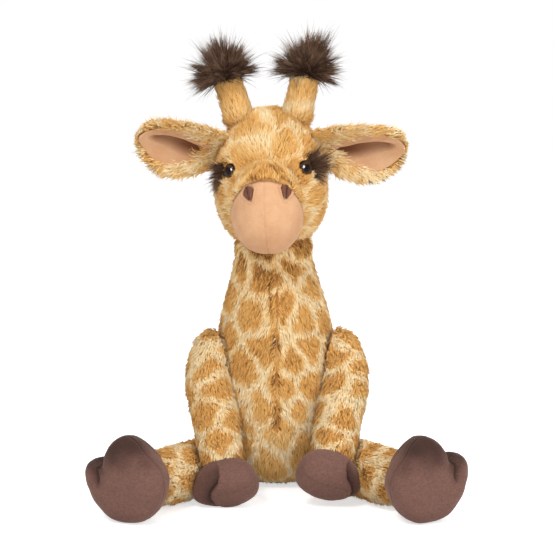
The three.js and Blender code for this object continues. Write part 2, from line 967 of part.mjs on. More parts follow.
function addBody() {
  toy.add(meshOf("body_and_neck", body, cloths.fur));
  toy.add(meshOf("pellet_bag", solid(pelletBagForm()), cloths.bag));
  toy.add(meshOf("neck_mane", cutBy(solid(neckManeForm()), bodyClear), cloths.longPile));
}

function addHead() {
  const group = jointGroup(toy, headFrame);
  const toHead = headFrame.clone().invert();
  const neckClear = bodyClear.clone().applyMatrix4(toHead);
  let head = cutBy(headForm(), neckClear);
  const skull = grown(skullForm(), seamGap);
  const muzzle = cutBy(solid(muzzleForm()), behindMuzzleSeam(seamGap), skull, neckClear);
  group.add(meshOf("muzzle", muzzle, cloths.peach));
  const furEdge = behindMuzzleSeam(seamGap);
  const mane = cutBy(solid(headManeForm()), skull, neckClear);
  group.add(meshOf("head_mane", mane, cloths.longPile));
  for (const [name, side] of [["left", 1], ["right", -1]]) {
    const eye = eyeFrame(side);
    const eyeBody = solid(eyeForm(0).applyMatrix4(eye));
    const washer = washerForm();
    head = cutBy(head, eyeForm(seamGap).applyMatrix4(eye), washerRoom().applyMatrix4(eye));
    group.add(meshOf("eye_" + name, eyeBody, cloths.eye));
    group.add(meshOf("eye_washer_" + name, solid(washer.applyMatrix4(eye)), cloths.plastic));
    const nostril = cutBy(solid(nostrilForm(side)), grown(muzzleForm(), seamGap), furEdge);
    group.add(meshOf("nostril_" + name, nostril, cloths.stitching));
    addHorn(group, name, side, skull);
    const ear = addEar(group, name, side, skull);
    const lash = cutBy(solid(lashForm(side)), skull, eyeForm(seamGap).applyMatrix4(eye), ear);
    group.add(meshOf("lash_" + name, lash, cloths.longPile));
  }
  group.add(meshOf("head", head, cloths.fur));
}

function addHorn(group, name, side, skull) {
  const horn = hornForm(side);
  group.add(meshOf("horn_" + name, cutBy(solid(horn), skull), cloths.fur));
  const tuft = cutBy(solid(tuftForm(side)), grown(horn, seamGap));
  group.add(meshOf("horn_tuft_" + name, tuft, cloths.longPile));
}

function addEar(group, name, side, skull) {
  const root = new THREE.Vector3(side * earRootSpread, earRootBack, earRootHeight);
  const lining = liningForm(side);
  const shell = cutBy(solid(earForm(side)), grown(lining, seamGap));
  const swing = [skull, root, yAxis, -earSwing, earSwing];
  const flap = jointGroup(group, at(root));
  flap.add(meshOf("ear_" + name, clearOfSwing(shell, ...swing), cloths.fur, at(root)));
  const seated = clearOfSwing(solid(lining), ...swing);
  flap.add(meshOf("ear_lining_" + name, seated, cloths.peach, at(root)));
  return grown(earForm(side), seamGap);
}

function addArm(name, side) {
  const pivot = point(shoulder, side);
  const arm = armForm(side);
  const group = jointGroup(toy, at(pivot));
  const swing = [bodyClear, pivot, xAxis, -armLift, 0];
  const sleeve = cutBy(clearOfSwing(solid(arm), ...swing), underFloor());
  group.add(meshOf("arm_" + name, sleeve, cloths.fur, at(pivot)));
  const hand = clearOfSwing(solid(handForm(side)), ...swing);
  const handBody = cutBy(hand, grown(arm, seamGap), underFloor());
  group.add(meshOf("arm_hoof_" + name, handBody, cloths.velour, at(pivot)));
}

function addLeg(name, side) {
  const pivot = point({ ...hip, z: legRadius }, side);
  const leg = legForm(side);
  const group = jointGroup(toy, at(pivot));
  const [from, to] = side > 0 ? [0, legSplay] : [-legSplay, 0];
  const armClear = grown(armForm(side), seamGap);
  const handClear = grown(handForm(side), seamGap);
  const limbBody = [bodyClear, armClear, handClear].reduce(
    (left, neighbour) => clearOfSwing(left, neighbour, pivot, zAxis, from, to),
    cutBy(solid(leg), underFloor()),
  );
  group.add(meshOf("leg_" + name, limbBody, cloths.fur, at(pivot)));
  const foot = cutBy(solid(footForm(side)), grown(leg, seamGap), underFloor());
  group.add(meshOf("leg_hoof_" + name, foot, cloths.velour, at(pivot)));
}

function addTail() {
  const pivot = point(tailRoot);
  const group = jointGroup(toy, at(pivot));
  const swung = clearOfSwing(solid(tailForm()), bodyClear, pivot, xAxis, 0, tailLift);
  group.add(meshOf("tail", cutBy(swung, underFloor()), cloths.fur, at(pivot)));
  const tuft = cutBy(solid(tailTuftForm()), grown(tailForm(), seamGap), underFloor());
  group.add(meshOf("tail_tuft", tuft, cloths.longPile, at(pivot)));
}

addBody();
addHead();
for (const [name, side] of [["left", 1], ["right", -1]]) {
  addArm(name, side);
  addLeg(name, side);
}
addTail();

export default toy;
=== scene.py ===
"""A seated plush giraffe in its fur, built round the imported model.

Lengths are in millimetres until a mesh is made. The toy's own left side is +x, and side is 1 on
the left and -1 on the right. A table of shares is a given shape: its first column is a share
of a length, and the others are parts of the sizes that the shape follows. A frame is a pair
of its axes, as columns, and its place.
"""

import math

import bpy
import numpy as np
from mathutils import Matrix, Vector
from mathutils.bvhtree import BVHTree


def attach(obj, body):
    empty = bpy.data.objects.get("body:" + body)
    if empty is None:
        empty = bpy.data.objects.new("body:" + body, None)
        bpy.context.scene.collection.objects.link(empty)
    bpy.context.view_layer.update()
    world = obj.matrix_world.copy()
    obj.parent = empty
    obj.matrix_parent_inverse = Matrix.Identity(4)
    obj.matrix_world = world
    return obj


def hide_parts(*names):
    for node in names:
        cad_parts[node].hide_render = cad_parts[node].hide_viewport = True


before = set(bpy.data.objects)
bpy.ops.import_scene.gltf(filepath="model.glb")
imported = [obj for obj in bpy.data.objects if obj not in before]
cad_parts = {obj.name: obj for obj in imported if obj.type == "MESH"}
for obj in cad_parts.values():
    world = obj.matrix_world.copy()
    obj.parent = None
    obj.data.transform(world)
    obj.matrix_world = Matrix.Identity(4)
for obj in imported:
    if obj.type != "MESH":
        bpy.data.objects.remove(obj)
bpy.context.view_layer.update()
MM = 0.001
SIDES = (("left", 1), ("right", -1))
UP = np.array([0, 0, 1.0])
WORLD = (np.eye(3), np.zeros(3))
EVEN = [(0, 1), (1, 1)]  # shares that are the same all along

# Camera and lamps, in metres
CAMERA_AIM = Vector((0, 0, 0.164))
CAMERA_DISTANCE = 1.3
CAMERA_RISE = math.radians(8)
CAMERA_LENS = 105.6
LAMP_AIM = Vector((0, 0, 0.15))
LAMPS = [  # name, place, size and power
    ("key", (-0.5, -1.05, 1.25), 0.38, 10.3),
    ("fill", (1.1, -0.9, 0.7), 1.0, 7.0),
    ("front", (0.25, -1.6, 0.15), 1.1, 6.4),
    ("top", (0.35, 0.35, 1.3), 0.9, 8.0),
]

# Body and neck
BELLY_HALVES = np.array([56, 52])  # to the side and to the front
BELLY_HEIGHT = 38
SEAT_SHIFT = 9
FLAT_DEPTH = 0.5
NECK_RADIUS = 30.5
NECK_FOOT = 182
NECK_TOP = 205
NECK_CAP = 15
NECK_LEAN = 2.8
SEAT_SHARES = [(0, 0.5, 1), (0.12, 0.74, 0.75), (0.3, 0.885, 0.45), (0.55, 0.965, 0.2), (1, 1, 0)]
TAPER_SHARES = [
    (0, 1), (0.12, 0.99), (0.24, 0.91), (0.37, 0.8), (0.5, 0.67), (0.64, 0.53), (0.78, 0.33),
    (0.9, 0.13), (1, 0),
]

# Head, in the frame of the neck joint
NECK_JOINT = 190
HEAD_YAW = -4
HEAD_ROLL = -2.5
HEAD_HEIGHT = 114
HEAD_BOTTOM = -2
HEAD_HALVES = (44.3, 42.5, 42.5)  # to the side, to the front and to the back
HEAD_SHARES = [
    (0, 0, 0, 0), (0.035, 0.5, 0.5, 0.52), (0.1, 0.745, 0.75, 0.73), (0.2, 0.915, 0.91, 0.88),
    (0.32, 1, 0.99, 0.97), (0.45, 1.01, 0.98, 1), (0.57, 0.985, 0.9, 0.99),
    (0.68, 0.92, 0.77, 0.93), (0.78, 0.81, 0.61, 0.82), (0.87, 0.66, 0.43, 0.67),
    (0.94, 0.47, 0.24, 0.49), (0.985, 0.24, 0.04, 0.28), (1, 0, -0.12, 0.12),
]
MUZZLE_FORWARD = 48
MUZZLE_HEIGHT = 27
MUZZLE_HALF_WIDTH = 27.8
MUZZLE_HALF_DEPTH = 29
MUZZLE_DROP = 28.5
MUZZLE_RISE = 39.5
SEAM_FORWARD = 47
SEAM_TILT = math.radians(34.5)
SEAM_OUTWARD = np.array([0, -math.cos(SEAM_TILT), -math.sin(SEAM_TILT)])
SLEEVE = 2.4  # how far the fur stands out round the muzzle
BRIDGE = np.array([0, -37, 50])
BRIDGE_HALVES = (23, 31, 20)
NOSTRIL_SPREAD = 15
NOSTRIL_SHIFT = {1: 1.4, -1: 3.2}
NOSTRIL_RISE = 20.4
NOSTRIL_HALF_WIDTH = 4.6
NOSTRIL_HALF_LENGTH = 5.9
NOSTRIL_LEAN = -28
NOSTRIL_WIDEST = 0.58  # at this share of its length
NOSTRIL_BARE = 3.8  # how far from a nostril the fur starts
STITCHES = 17  # on each side of a nostril
EYE_SPREAD = 30
EYE_HEIGHT = 62
EYE_RADIUS = 6
EYE_DOME = 3.6
EYE_SUNK = 0.9  # how far the fur stands up round it
LASH_MIDDLE = {1: 0, -1: -24}  # the bearing that most of the long fur has, from level
LASH_PATCH_SHIFT = 5
LASH_PATCH_RADIUS = 4.2

# Horns, tufts and ears
HORN_SPREAD = 20.5
HORN_BACK = 2
HORN_BASE = 92
HORN_LENGTH = 46
HORN_RADIUS = 11.6
HORN_LEAN = math.radians(14.5)
HORN_SHARES = [(0, 1.08), (0.35, 1.02), (0.7, 0.96), (1, 1)]
HORN_BANDS = {1: 0.5, -1: 0.12}  # how pale the bands across each horn are
TUFT_SINK = 5  # how deep in the horn its fibres start
TUFT_REACH = 38.5
TUFT_LOCKS = 110
EAR_ROOT = (34, 6, 76.5)
EAR_LENGTH = 75
EAR_HALF_WIDTH = 24
EAR_THICKNESS = 9
EAR_CUP = 13
EAR_RISE = {1: -2.5, -1: 18}
EAR_FORWARD = {1: 8, -1: 33}
EAR_TILT = math.radians(28)
LINING_START = 17
LINING_LENGTH = 58
LINING_HALF_WIDTH = 18
EAR_SHARES = [
    (0, 0.76, 0.62), (0.12, 0.82, 0.7), (0.3, 0.94, 0.88), (0.5, 1, 1), (0.68, 0.98, 0.92),
    (0.84, 0.8, 0.66), (0.95, 0.5, 0.34), (1, 0.1, 0.1),
]
LINING_SHARES = [
    (0, 0.12, 0.12), (0.15, 0.5, 0.5), (0.35, 0.85, 0.85), (0.58, 1, 0.96), (0.78, 0.88, 0.74),
    (0.93, 0.54, 0.36), (1, 0.12, 0.12),
]
FLAP_SHARES = [
    (0, 0), (0.05, 0.06), (0.24, 0.2), (0.43, 0.39), (0.64, 0.48), (0.81, 0.38), (1, 0.1),
]

# Arms, legs and hooves
ARM_PATH = [(44, -2, 121), (54, -28, 89), (47.5, -52, 59), (43.5, -71, 38), (41, -87, 24)]
ARM_RADIUS = 18.6
ARM_SHARES = [(0, 0.92), (0.25, 1), (0.55, 1), (0.8, 0.94), (1, 0.86)]
LEG_PATH = [(41, -24), (60, -50), (80, -77), (101, -106)]
LEG_RADIUS = 22.5
LEG_SHARES = [(0, 0.8), (0.25, 0.95), (0.55, 1), (0.8, 0.98), (1, 0.92)]
FOOT_HALVES = (31.5, 32.5)
FOOT_THICKNESS = 46
FOOT_PLACE = (108, -120, 0)
FOOT_TURN = math.radians(24)
FOOT_ROLL = {1: 0, -1: 9}
FOOT_FOLD = [(0.47, 0.42), (0.5, 0.2), (0.53, 0.02), (0.56, -0.14)]  # from between the toes
HAND_HALVES = (21, 24.5)
HAND_THICKNESS = 33
HAND_PLACE = (39.5, -87, 0)
HAND_TURN = math.radians(-4)
HAND_DIP = math.radians(40)
HAND_ROLL = {1: 114, -1: 107}
HAND_LIFT = {1: 5, -1: 0}
HAND_FOLD = [(-0.8, 0.08), (-0.45, 0.37), (0.05, 0.46), (0.5, 0.3), (0.85, -0.05)]  # across it
HAND_FOLD_SHIFT = {1: 0.28, -1: 0}
CLEFT_SHARE = 0.35  # of a foot's thickness, where its outline is fully cleft
FOLD_POINTS = 60
SOLE_SHARES = [
    (1, 0), (0.99, 0.27), (0.86, 0.47), (0.66, 0.51), (0.48, 0.42), (0.35, 0.66), (0.1, 0.92),
    (-0.14, 1), (-0.38, 0.88), (-0.62, 0.58), (-0.9, 0.26), (-1, -0.1), (-0.88, -0.5),
    (-0.62, -0.82), (-0.3, -0.98), (0.06, -1), (0.45, -0.87), (0.82, -0.48),
]
HOOF_SHARES = [
    (0, 0.5), (0.1, 0.68), (0.25, 0.84), (0.45, 0.96), (0.65, 1), (0.8, 0.95), (0.91, 0.8),
    (0.98, 0.5), (1, 0),
]

# Tail and mane
TAIL_PATH = [(0, 51, 47), (0, 64, 36), (0, 76, 20), (0, 86, 10)]
TAIL_RADIUS = 5.5
TAIL_TUFT_LENGTH = 21
NECK_MANE = (104, 184)
HEAD_MANE = (17, 97)

# Fur
PILE = 2.6  # how far a furred skin lies inside the toy's outline
FUR_BOTTOM = 1.5  # the lowest that fur is rooted on the body and limbs
FIBRES_PER_MM2 = 1.5
FIBRE_RADIUS = 0.42
ROOT_DEPTH = 0.8
LOCK_SIZE = 4.2  # of the locks that short fur gathers in
PATCH_TRIES = 3000  # places tried for the middles of patches
STRANDS_EACH = 32000  # the most strands in one piece
LEAST_FACING = 0.35  # how far a fibre's shading faces out of its own side at least


# Numbers


def smooth(rows, share, column=1):
    """The value in a column of a table of shares, on a smooth curve through its rows."""
    rows = np.asarray(rows, float)
    x, y = rows[:, 0], rows[:, column]
    last = len(x) - 1
    index = np.arange(last + 1)
    before, after = np.maximum(index - 1, 0), np.minimum(index + 1, last)
    slopes = (y[after] - y[before]) / (x[after] - x[before])
    b = np.clip(np.searchsorted(x, share, side="left"), 1, last)
    a = b - 1
    run = x[b] - x[a]
    t = (share - x[a]) / run
    lead = y[a] * (1 + 2 * t) * (1 - t) ** 2 + y[b] * t * t * (3 - 2 * t)
    return lead + slopes[a] * run * t * (1 - t) ** 2 - slopes[b] * run * t * t * (1 - t)


def crowded(count):
    """Shares from 0 to 1 that crowd together at both ends."""
    return (1 - np.cos(np.pi * np.arange(count + 1) / count)) / 2


def step(low, high, value):
    """0 below low, 1 above high, and a smooth rise between them."""
    t = np.clip((value - low) / (high - low), 0, 1)
    return t * t * (3 - 2 * t)


def hump(value, width):
    """1 at 0, and less on both sides in a bell of about that half width."""
    return np.exp(-((value / width) ** 2))


def unit(vectors):
    return vectors / np.maximum(np.linalg.norm(vectors, axis=-1, keepdims=True), 1e-12)


def dot(a, b):
    return np.sum(a * b, axis=-1, keepdims=True)


def lattice(places, seed):
    """A number from -1 to 1 for each whole-numbered place, the same at every run."""
    x, y, z = places.T
    mixed = (x * 73856093 ^ y * 19349663 ^ z * 83492791 ^ seed * 2654435).astype(np.uint32)
    for shift, factor in ((16, 0x7FEB352D), (15, 0x846CA68B)):
        mixed = (mixed ^ (mixed >> np.uint32(shift))) * np.uint32(factor)
    mixed ^= mixed >> np.uint32(16)
    return mixed / 2147483648.0 - 1


def noise(points, size, seed):
    """Smooth noise from -1 to 1 with features of about that size."""
    q = points / size
    base = np.floor(q).astype(np.int64)
    t = q - base
    t = t * t * (3 - 2 * t)
    total = np.zeros(len(points))
    for corner in np.ndindex(2, 2, 2):
        weight = np.prod(np.where(corner, t, 1 - t), axis=1)
        total += weight * lattice(base + np.array(corner), seed)
    return total


def noises(points, size, seed):
    """Three noises, as vectors."""
    return np.stack([noise(points, size, seed + k) for k in range(3)], axis=1)


def slope_of_noise(points, size, seed):
    """The way that the noise rises, for each point."""
    here = noise(points, size, seed)
    ahead = [noise(points + size / 8 * axis, size, seed) for axis in np.eye(3)]
    return np.stack([(a - here) * 8 for a in ahead], axis=1)


# Frames


def turned(axis, angle):
    """A rotation matrix about y or z, by degrees."""
    c, s = math.cos(math.radians(angle)), math.sin(math.radians(angle))
    rows = {"y": [(c, 0, s), (0, 1, 0), (-s, 0, c)], "z": [(c, -s, 0), (s, c, 0), (0, 0, 1)]}
    return np.array(rows[axis])


def frame_at(place, direction, up=(0, 0, 1)):
    """A frame with z along the direction, and y as near as can be to up."""
    z = unit(np.asarray(direction, float))
    x = unit(np.cross(up, z))
    return np.stack([x, np.cross(z, x), z], axis=1), np.asarray(place, float)


def placed(points, at):
    """Points given in a frame, outside it."""
    axes, place = at
    return points @ axes.T + place


def seen_from(points, at):
    """Points given outside a frame, in it."""
    axes, place = at
    return (points - place) @ axes


def within(outer, inner):
    """An inner frame that is given in an outer one, outside both."""
    return outer[0] @ inner[0], placed(inner[1], outer)


# Curves


def through(places, count=400, closed=False):
    """Points on the smooth curve through some places, close together."""
    p = np.asarray(places, float)
    spans = len(p) if closed else len(p) - 1
    if closed:
        p = np.concatenate([p[-1:], p, p[:2]])
    else:
        p = np.concatenate([2 * p[:1] - p[1:2], p, 2 * p[-1:] - p[-2:-1]])
    t = np.linspace(0, spans, count, endpoint=not closed)
    i = np.minimum(t.astype(int), spans - 1)
    t = (t - i)[:, None]
    p0, p1, p2, p3 = (p[i + k] for k in range(4))
    ends = ((p0, p1), (p1, p2), (p2, p3))
    d0, d1, d2 = (np.linalg.norm(b - a, axis=1)[:, None] ** 0.5 for a, b in ends)
    m1 = ((p1 - p0) / d0 - (p2 - p0) / (d0 + d1) + (p2 - p1) / d1) * d1
    m2 = ((p2 - p1) / d1 - (p3 - p1) / (d1 + d2) + (p3 - p2) / d2) * d1
    return p1 + m1 * t + (3 * (p2 - p1) - 2 * m1 - m2) * t**2 + (2 * (p1 - p2) + m1 + m2) * t**3


def evenly(curve, shares):
    """Points and directions at shares of a curve's length, and that length."""
    steps = np.linalg.norm(np.diff(curve, axis=0), axis=1)
    run = np.concatenate([[0], np.cumsum(steps)]) / steps.sum()
    middle = (run[1:] + run[:-1]) / 2
    ways = unit(np.diff(curve, axis=0))
    at = np.stack([np.interp(shares, run, column) for column in curve.T], axis=1)
    way = np.stack([np.interp(shares, middle, column) for column in ways.T], axis=1)
    return at, unit(way), steps.sum()


def arched(start, middle, end):
    """Spines of five places from start to end, drawn towards the middle."""
    t = np.linspace(0, 1, 5)[None, :, None]
    return start[:, None] * (1 - t) ** 2 + 2 * middle[:, None] * t * (1 - t) + end[:, None] * t**2


# Skins


class Skin:
    """A closed skin with its points, its faces, and the outward direction at each point."""

    def __init__(self, points, faces):
        self.points = np.asarray(points, float)
        self.faces = faces
        self.tris = np.array([(f[0], f[i], f[i + 1]) for f in faces for i in range(1, len(f) - 1)])
        a, b, c = (self.points[self.tris[:, k]] for k in range(3))
        if np.sum(a * np.cross(b, c)) < 0:
            self.tris = self.tris[:, ::-1]
            self.faces = [f[::-1] for f in faces]
            a, c = c, a
        crosses = np.cross(b - a, c - a)
        self.areas = np.linalg.norm(crosses, axis=1) / 2
        size = len(self.points)
        totals = np.zeros_like(self.points)
        for corner in self.tris.T:
            for axis in range(3):
                totals[:, axis] += np.bincount(corner, crosses[:, axis], minlength=size)
        self.normals = unit(totals)

    def moved(self, offsets):
        """The same skin with its points moved by vectors, or out by a number."""
        by = offsets if isinstance(offsets, np.ndarray) else self.normals * offsets
        return Skin(self.points + by, self.faces)

    def put(self, at):
        return Skin(placed(self.points, at), self.faces)

    def tree(self):
        return BVHTree.FromPolygons(self.points.tolist(), self.tris.tolist())

    def scatter(self, per_mm2, rng):
        """Places spread at random over the skin, with the outward direction at each."""
        count = int(self.areas.sum() * per_mm2)
        heap = np.cumsum(self.areas)
        found = np.minimum(np.searchsorted(heap, rng.random(count) * heap[-1]), len(heap) - 1)
        u, v = rng.random(count), rng.random(count)
        flip = u + v > 1
        u, v = np.where(flip, 1 - u, u), np.where(flip, 1 - v, v)
        weights = np.stack([1 - u - v, u, v], axis=1)[:, :, None]
        corners = self.tris[found]
        places = (self.points[corners] * weights).sum(1)
        return places, unit((self.normals[corners] * weights).sum(1))


def lofted(rings):
    """A closed skin over rings of as many points, with a cap at either end."""
    rings = [np.asarray(r, float) for r in rings]
    sides = len(rings[0])
    points = np.concatenate([rings[0].mean(0)[None], *rings, rings[-1].mean(0)[None]])
    last = 1 + (len(rings) - 1) * sides
    faces = []
    for k in range(sides):
        following = (k + 1) % sides
        for here in range(1, last, sides):
            there = here + sides
            faces.append((here + k, here + following, there + following, there + k))
        faces.append((0, 1 + following, 1 + k))
        faces.append((len(points) - 1, last + k, last + following))
    return Skin(points, faces)


def ellipse(centre, half_across, half_deep, sides, across=(1, 0, 0), deep=(0, 1, 0)):
    angle = 2 * np.pi * np.arange(sides)[:, None] / sides
    return centre + half_across * np.cos(angle) * across + half_deep * np.sin(angle) * deep


def limb(places, radius, shares, sides, rings, side):
    """A round limb with rounded ends, along a curve."""
    share = crowded(rings)[1:-1]
    at, way, length = evenly(through(places), share)
    reach = np.minimum(np.minimum(share, 1 - share) * length / radius, 1)
    r = radius * smooth(shares, share) * np.sqrt(1 - (1 - reach) ** 2)
    outward = np.array([side, 0, 0])
    across = unit(outward - way * dot(way, outward))
    deep = np.cross(way, across)
    return lofted([ellipse(at[i], r[i], r[i], sides, across[i], deep[i]) for i in range(len(r))])


def egg(half_width, half_depth, rise, drop, sides):
    """An ellipsoid whose upper and lower halves may differ in height."""
    rings = []
    for angle in np.pi * crowded(sides // 2)[1:-1]:
        z, r = -math.cos(angle), math.sin(angle)
        centre = np.array([0, 0, z * (rise if z > 0 else drop)])
        rings.append(ellipse(centre, half_width * r, half_depth * r, sides))
    return lofted(rings)


def mirrored(place, side):
    return np.array([side * place[0], *place[1:]], float)


def rested(points):
    """Lowered so that it rests a little pressed on the floor."""
    return points - np.array([0, 0, points[:, 2].min() + FLAT_DEPTH])


def no_lower(points, height):
    """The points, with those under a height raised to it."""
    return np.maximum(points, [-np.inf, -np.inf, height])


def above_floor(skin):
    """Flat where it rests on the floor."""
    return Skin(no_lower(skin.points, 0.05), skin.faces)


def kept_in(skin, node, depth):
    """A skin whose points outside a CAD node come back to that depth under its face."""
    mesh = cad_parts[node].data
    corners = [tuple(v.co / MM) for v in mesh.vertices]
    mesh.calc_loop_triangles()
    tree = BVHTree.FromPolygons(corners, [tuple(t.vertices) for t in mesh.loop_triangles])
    points = skin.points.copy()
    for i, p in enumerate(points):
        place, normal, _, gap = tree.find_nearest(Vector(p))
        if (Vector(p) - place).dot(normal) > 0 or gap < depth:
            points[i] = np.array(place - normal * depth)
    return Skin(points, skin.faces)


def softened(skin, times):
    """A skin whose points move half way to the middle of their neighbours, some times over."""
    edges = np.concatenate([skin.tris[:, [0, 1]], skin.tris[:, [1, 2]], skin.tris[:, [2, 0]]])
    here, there = np.concatenate([edges, edges[:, ::-1]]).T
    count = np.maximum(np.bincount(here, minlength=len(skin.points)), 1)[:, None]
    points = skin.points.copy()
    for _ in range(times):
        sums = [np.bincount(here, column[there], len(points)) for column in points.T]
        points += 0.5 * (np.stack(sums, axis=1) / count - points)
    return Skin(points, skin.faces)


def joined(skins):
    """The points and the faces of several skins together."""
    starts = np.cumsum([0] + [len(s.points) for s in skins[:-1]])
    faces = [tuple(i + start for i in f) for s, start in zip(skins, starts) for f in s.faces]
    return np.concatenate([s.points for s in skins]), faces


def merged(skins, voxel, softening):
    """One skin round several that overlap."""
    thing = mesh_object("merging", *joined(skins))
    remesh = thing.modifiers.new("remesh", "REMESH")
    remesh.mode = "VOXEL"
    remesh.voxel_size = voxel * MM
    done = thing.evaluated_get(bpy.context.evaluated_depsgraph_get()).to_mesh()
    points = np.array([v.co for v in done.vertices]) / MM
    faces = [tuple(p.vertices) for p in done.polygons]
    bpy.data.meshes.remove(thing.data)
    return softened(Skin(points, faces), softening)


# Objects


def linked(name, data):
    thing = bpy.data.objects.new(name, data)
    bpy.context.scene.collection.objects.link(thing)
    return thing


def mesh_object(name, points, faces):
    mesh = bpy.data.meshes.new(name)
    mesh.from_pydata((np.asarray(points) * MM).tolist(), [], [tuple(map(int, f)) for f in faces])
    return linked(name, mesh)


def give(thing, name, values):
    """Writes one number for each point, which the material's nodes read by name."""
    attribute = thing.data.attributes.new(name, "FLOAT", "POINT")
    attribute.data.foreach_set("value", np.asarray(values, np.float32))


def dressed(thing, body, slot, *nodes, fill=None):
    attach(thing, body)
    if nodes:
        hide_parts(*nodes)
    return thing


def add_skin(name, skin, material, body, slot, node, fill=None, **values):
    """A piece with a skin, and the numbers for its points that its material reads."""
    thing = mesh_object(name, skin.points, skin.faces)
    thing.data.materials.append(material)
    thing.data.shade_smooth()
    for key, numbers in values.items():
        give(thing, key, numbers)
    return dressed(thing, body, slot, node, fill=fill)


# Strands


class Strands:
    """Many fibres, each a slim three-sided spike that swells from its root and ends in a point."""

    def __init__(self, spines, radii, normals, tone, along, rng, radial=0.35):
        """spines: fibres x places x 3. radii: fibres x places between the root and the tip.
        normals: the skin's outward direction at each root. tone and along: what the material
        reads. radial: how far the shading turns round the fibre, from that of the skin."""
        count, rows = spines.shape[:2]
        ways = unit(np.gradient(spines, axis=1))
        aside = unit(np.cross(ways, normals[:, None]) + 1e-6)
        up = np.cross(aside, ways)
        start = rng.random(count)[:, None] * 2 * np.pi
        corners, shading = [], []
        for k in range(3):
            angle = (start + 2 * np.pi * k / 3)[:, :, None]
            out = np.cos(angle) * aside[:, 1:-1] + np.sin(angle) * up[:, 1:-1]
            corners.append(spines[:, 1:-1] + out * radii[:, :, None])
            soft = unit(out * radial + normals[:, None] * (1 - radial))
            shading.append(unit(soft + out * np.maximum(LEAST_FACING - dot(soft, out), 0)))
        rings, facing = (np.stack(a, axis=2).reshape(count, -1, 3) for a in (corners, shading))
        tip = unit(normals[:, None] + 0.3 * ways[:, -1:])
        self.points = np.concatenate([spines[:, :1], rings, spines[:, -1:]], axis=1)
        self.shading = np.concatenate([normals[:, None], facing, tip], axis=1)
        self.tone = np.repeat(tone[:, None], self.points.shape[1], axis=1)
        climb = np.repeat(along[:, 1:-1], 3, axis=1)
        self.along = np.concatenate([along[:, :1], climb, along[:, -1:]], 1)
        last = 1 + 3 * (rows - 3)
        self.pattern = []
        for k in range(3):
            following = (k + 1) % 3
            self.pattern.append((0, 1 + k, 1 + following))
            self.pattern.append((last + k, last + 3, last + following))
            for ring in range(1, last, 3):
                a, b = ring + k, ring + following
                self.pattern.append((a, a + 3, b + 3, b))

    def object(self, name, material, picked):
        """Some of the fibres as one object. The layer OFBake holds tone and along."""
        points = self.points[picked]
        count, each = points.shape[:2]
        sizes = np.array([len(f) for f in self.pattern])
        corners = np.concatenate([np.array(f) for f in self.pattern])
        loops = (corners[None] + np.arange(count)[:, None] * each).ravel()
        starts = np.concatenate([[0], np.cumsum(np.tile(sizes, count))[:-1]])
        mesh = bpy.data.meshes.new(name)
        mesh.vertices.add(count * each)
        mesh.vertices.foreach_set("co", (points * MM).astype(np.float32).ravel())
        mesh.loops.add(len(loops))
        mesh.loops.foreach_set("vertex_index", loops.astype(np.int32))
        mesh.polygons.add(len(starts))
        mesh.polygons.foreach_set("loop_start", starts.astype(np.int32))
        mesh.update(calc_edges=True)
        mesh.validate()
        mesh.shade_smooth()
        mesh.normals_split_custom_set_from_vertices(self.shading[picked].reshape(-1, 3))
        mesh.materials.append(material)
        thing = linked(name, mesh)
        tone, along = self.tone[picked].ravel(), self.along[picked].ravel()
        give(thing, "tone", tone)
        give(thing, "along", along)
        places = 0.02 + 0.96 * np.clip(np.stack([tone, along], axis=1), 0, 1)
        layer = mesh.uv_layers.new(name="OFBake")
        layer.uv.foreach_set("vector", places[loops].astype(np.float32).ravel())
        return thing


def outside(points, trees, margin):
    """Which points lie outside all of some skins, or no deeper in one than a margin."""
    free = np.ones(len(points), bool)
    for tree in trees:
        for i in np.flatnonzero(free):
            place, normal, _, gap = tree.find_nearest(Vector(points[i]))
            rise = (Vector(points[i]) - place).dot(normal)
            free[i] = rise > -margin or rise > -0.8 * gap
    return free


def combed(flow, normals):
    """A direction laid down on the skin."""
    return unit(flow - normals * dot(flow, normals))


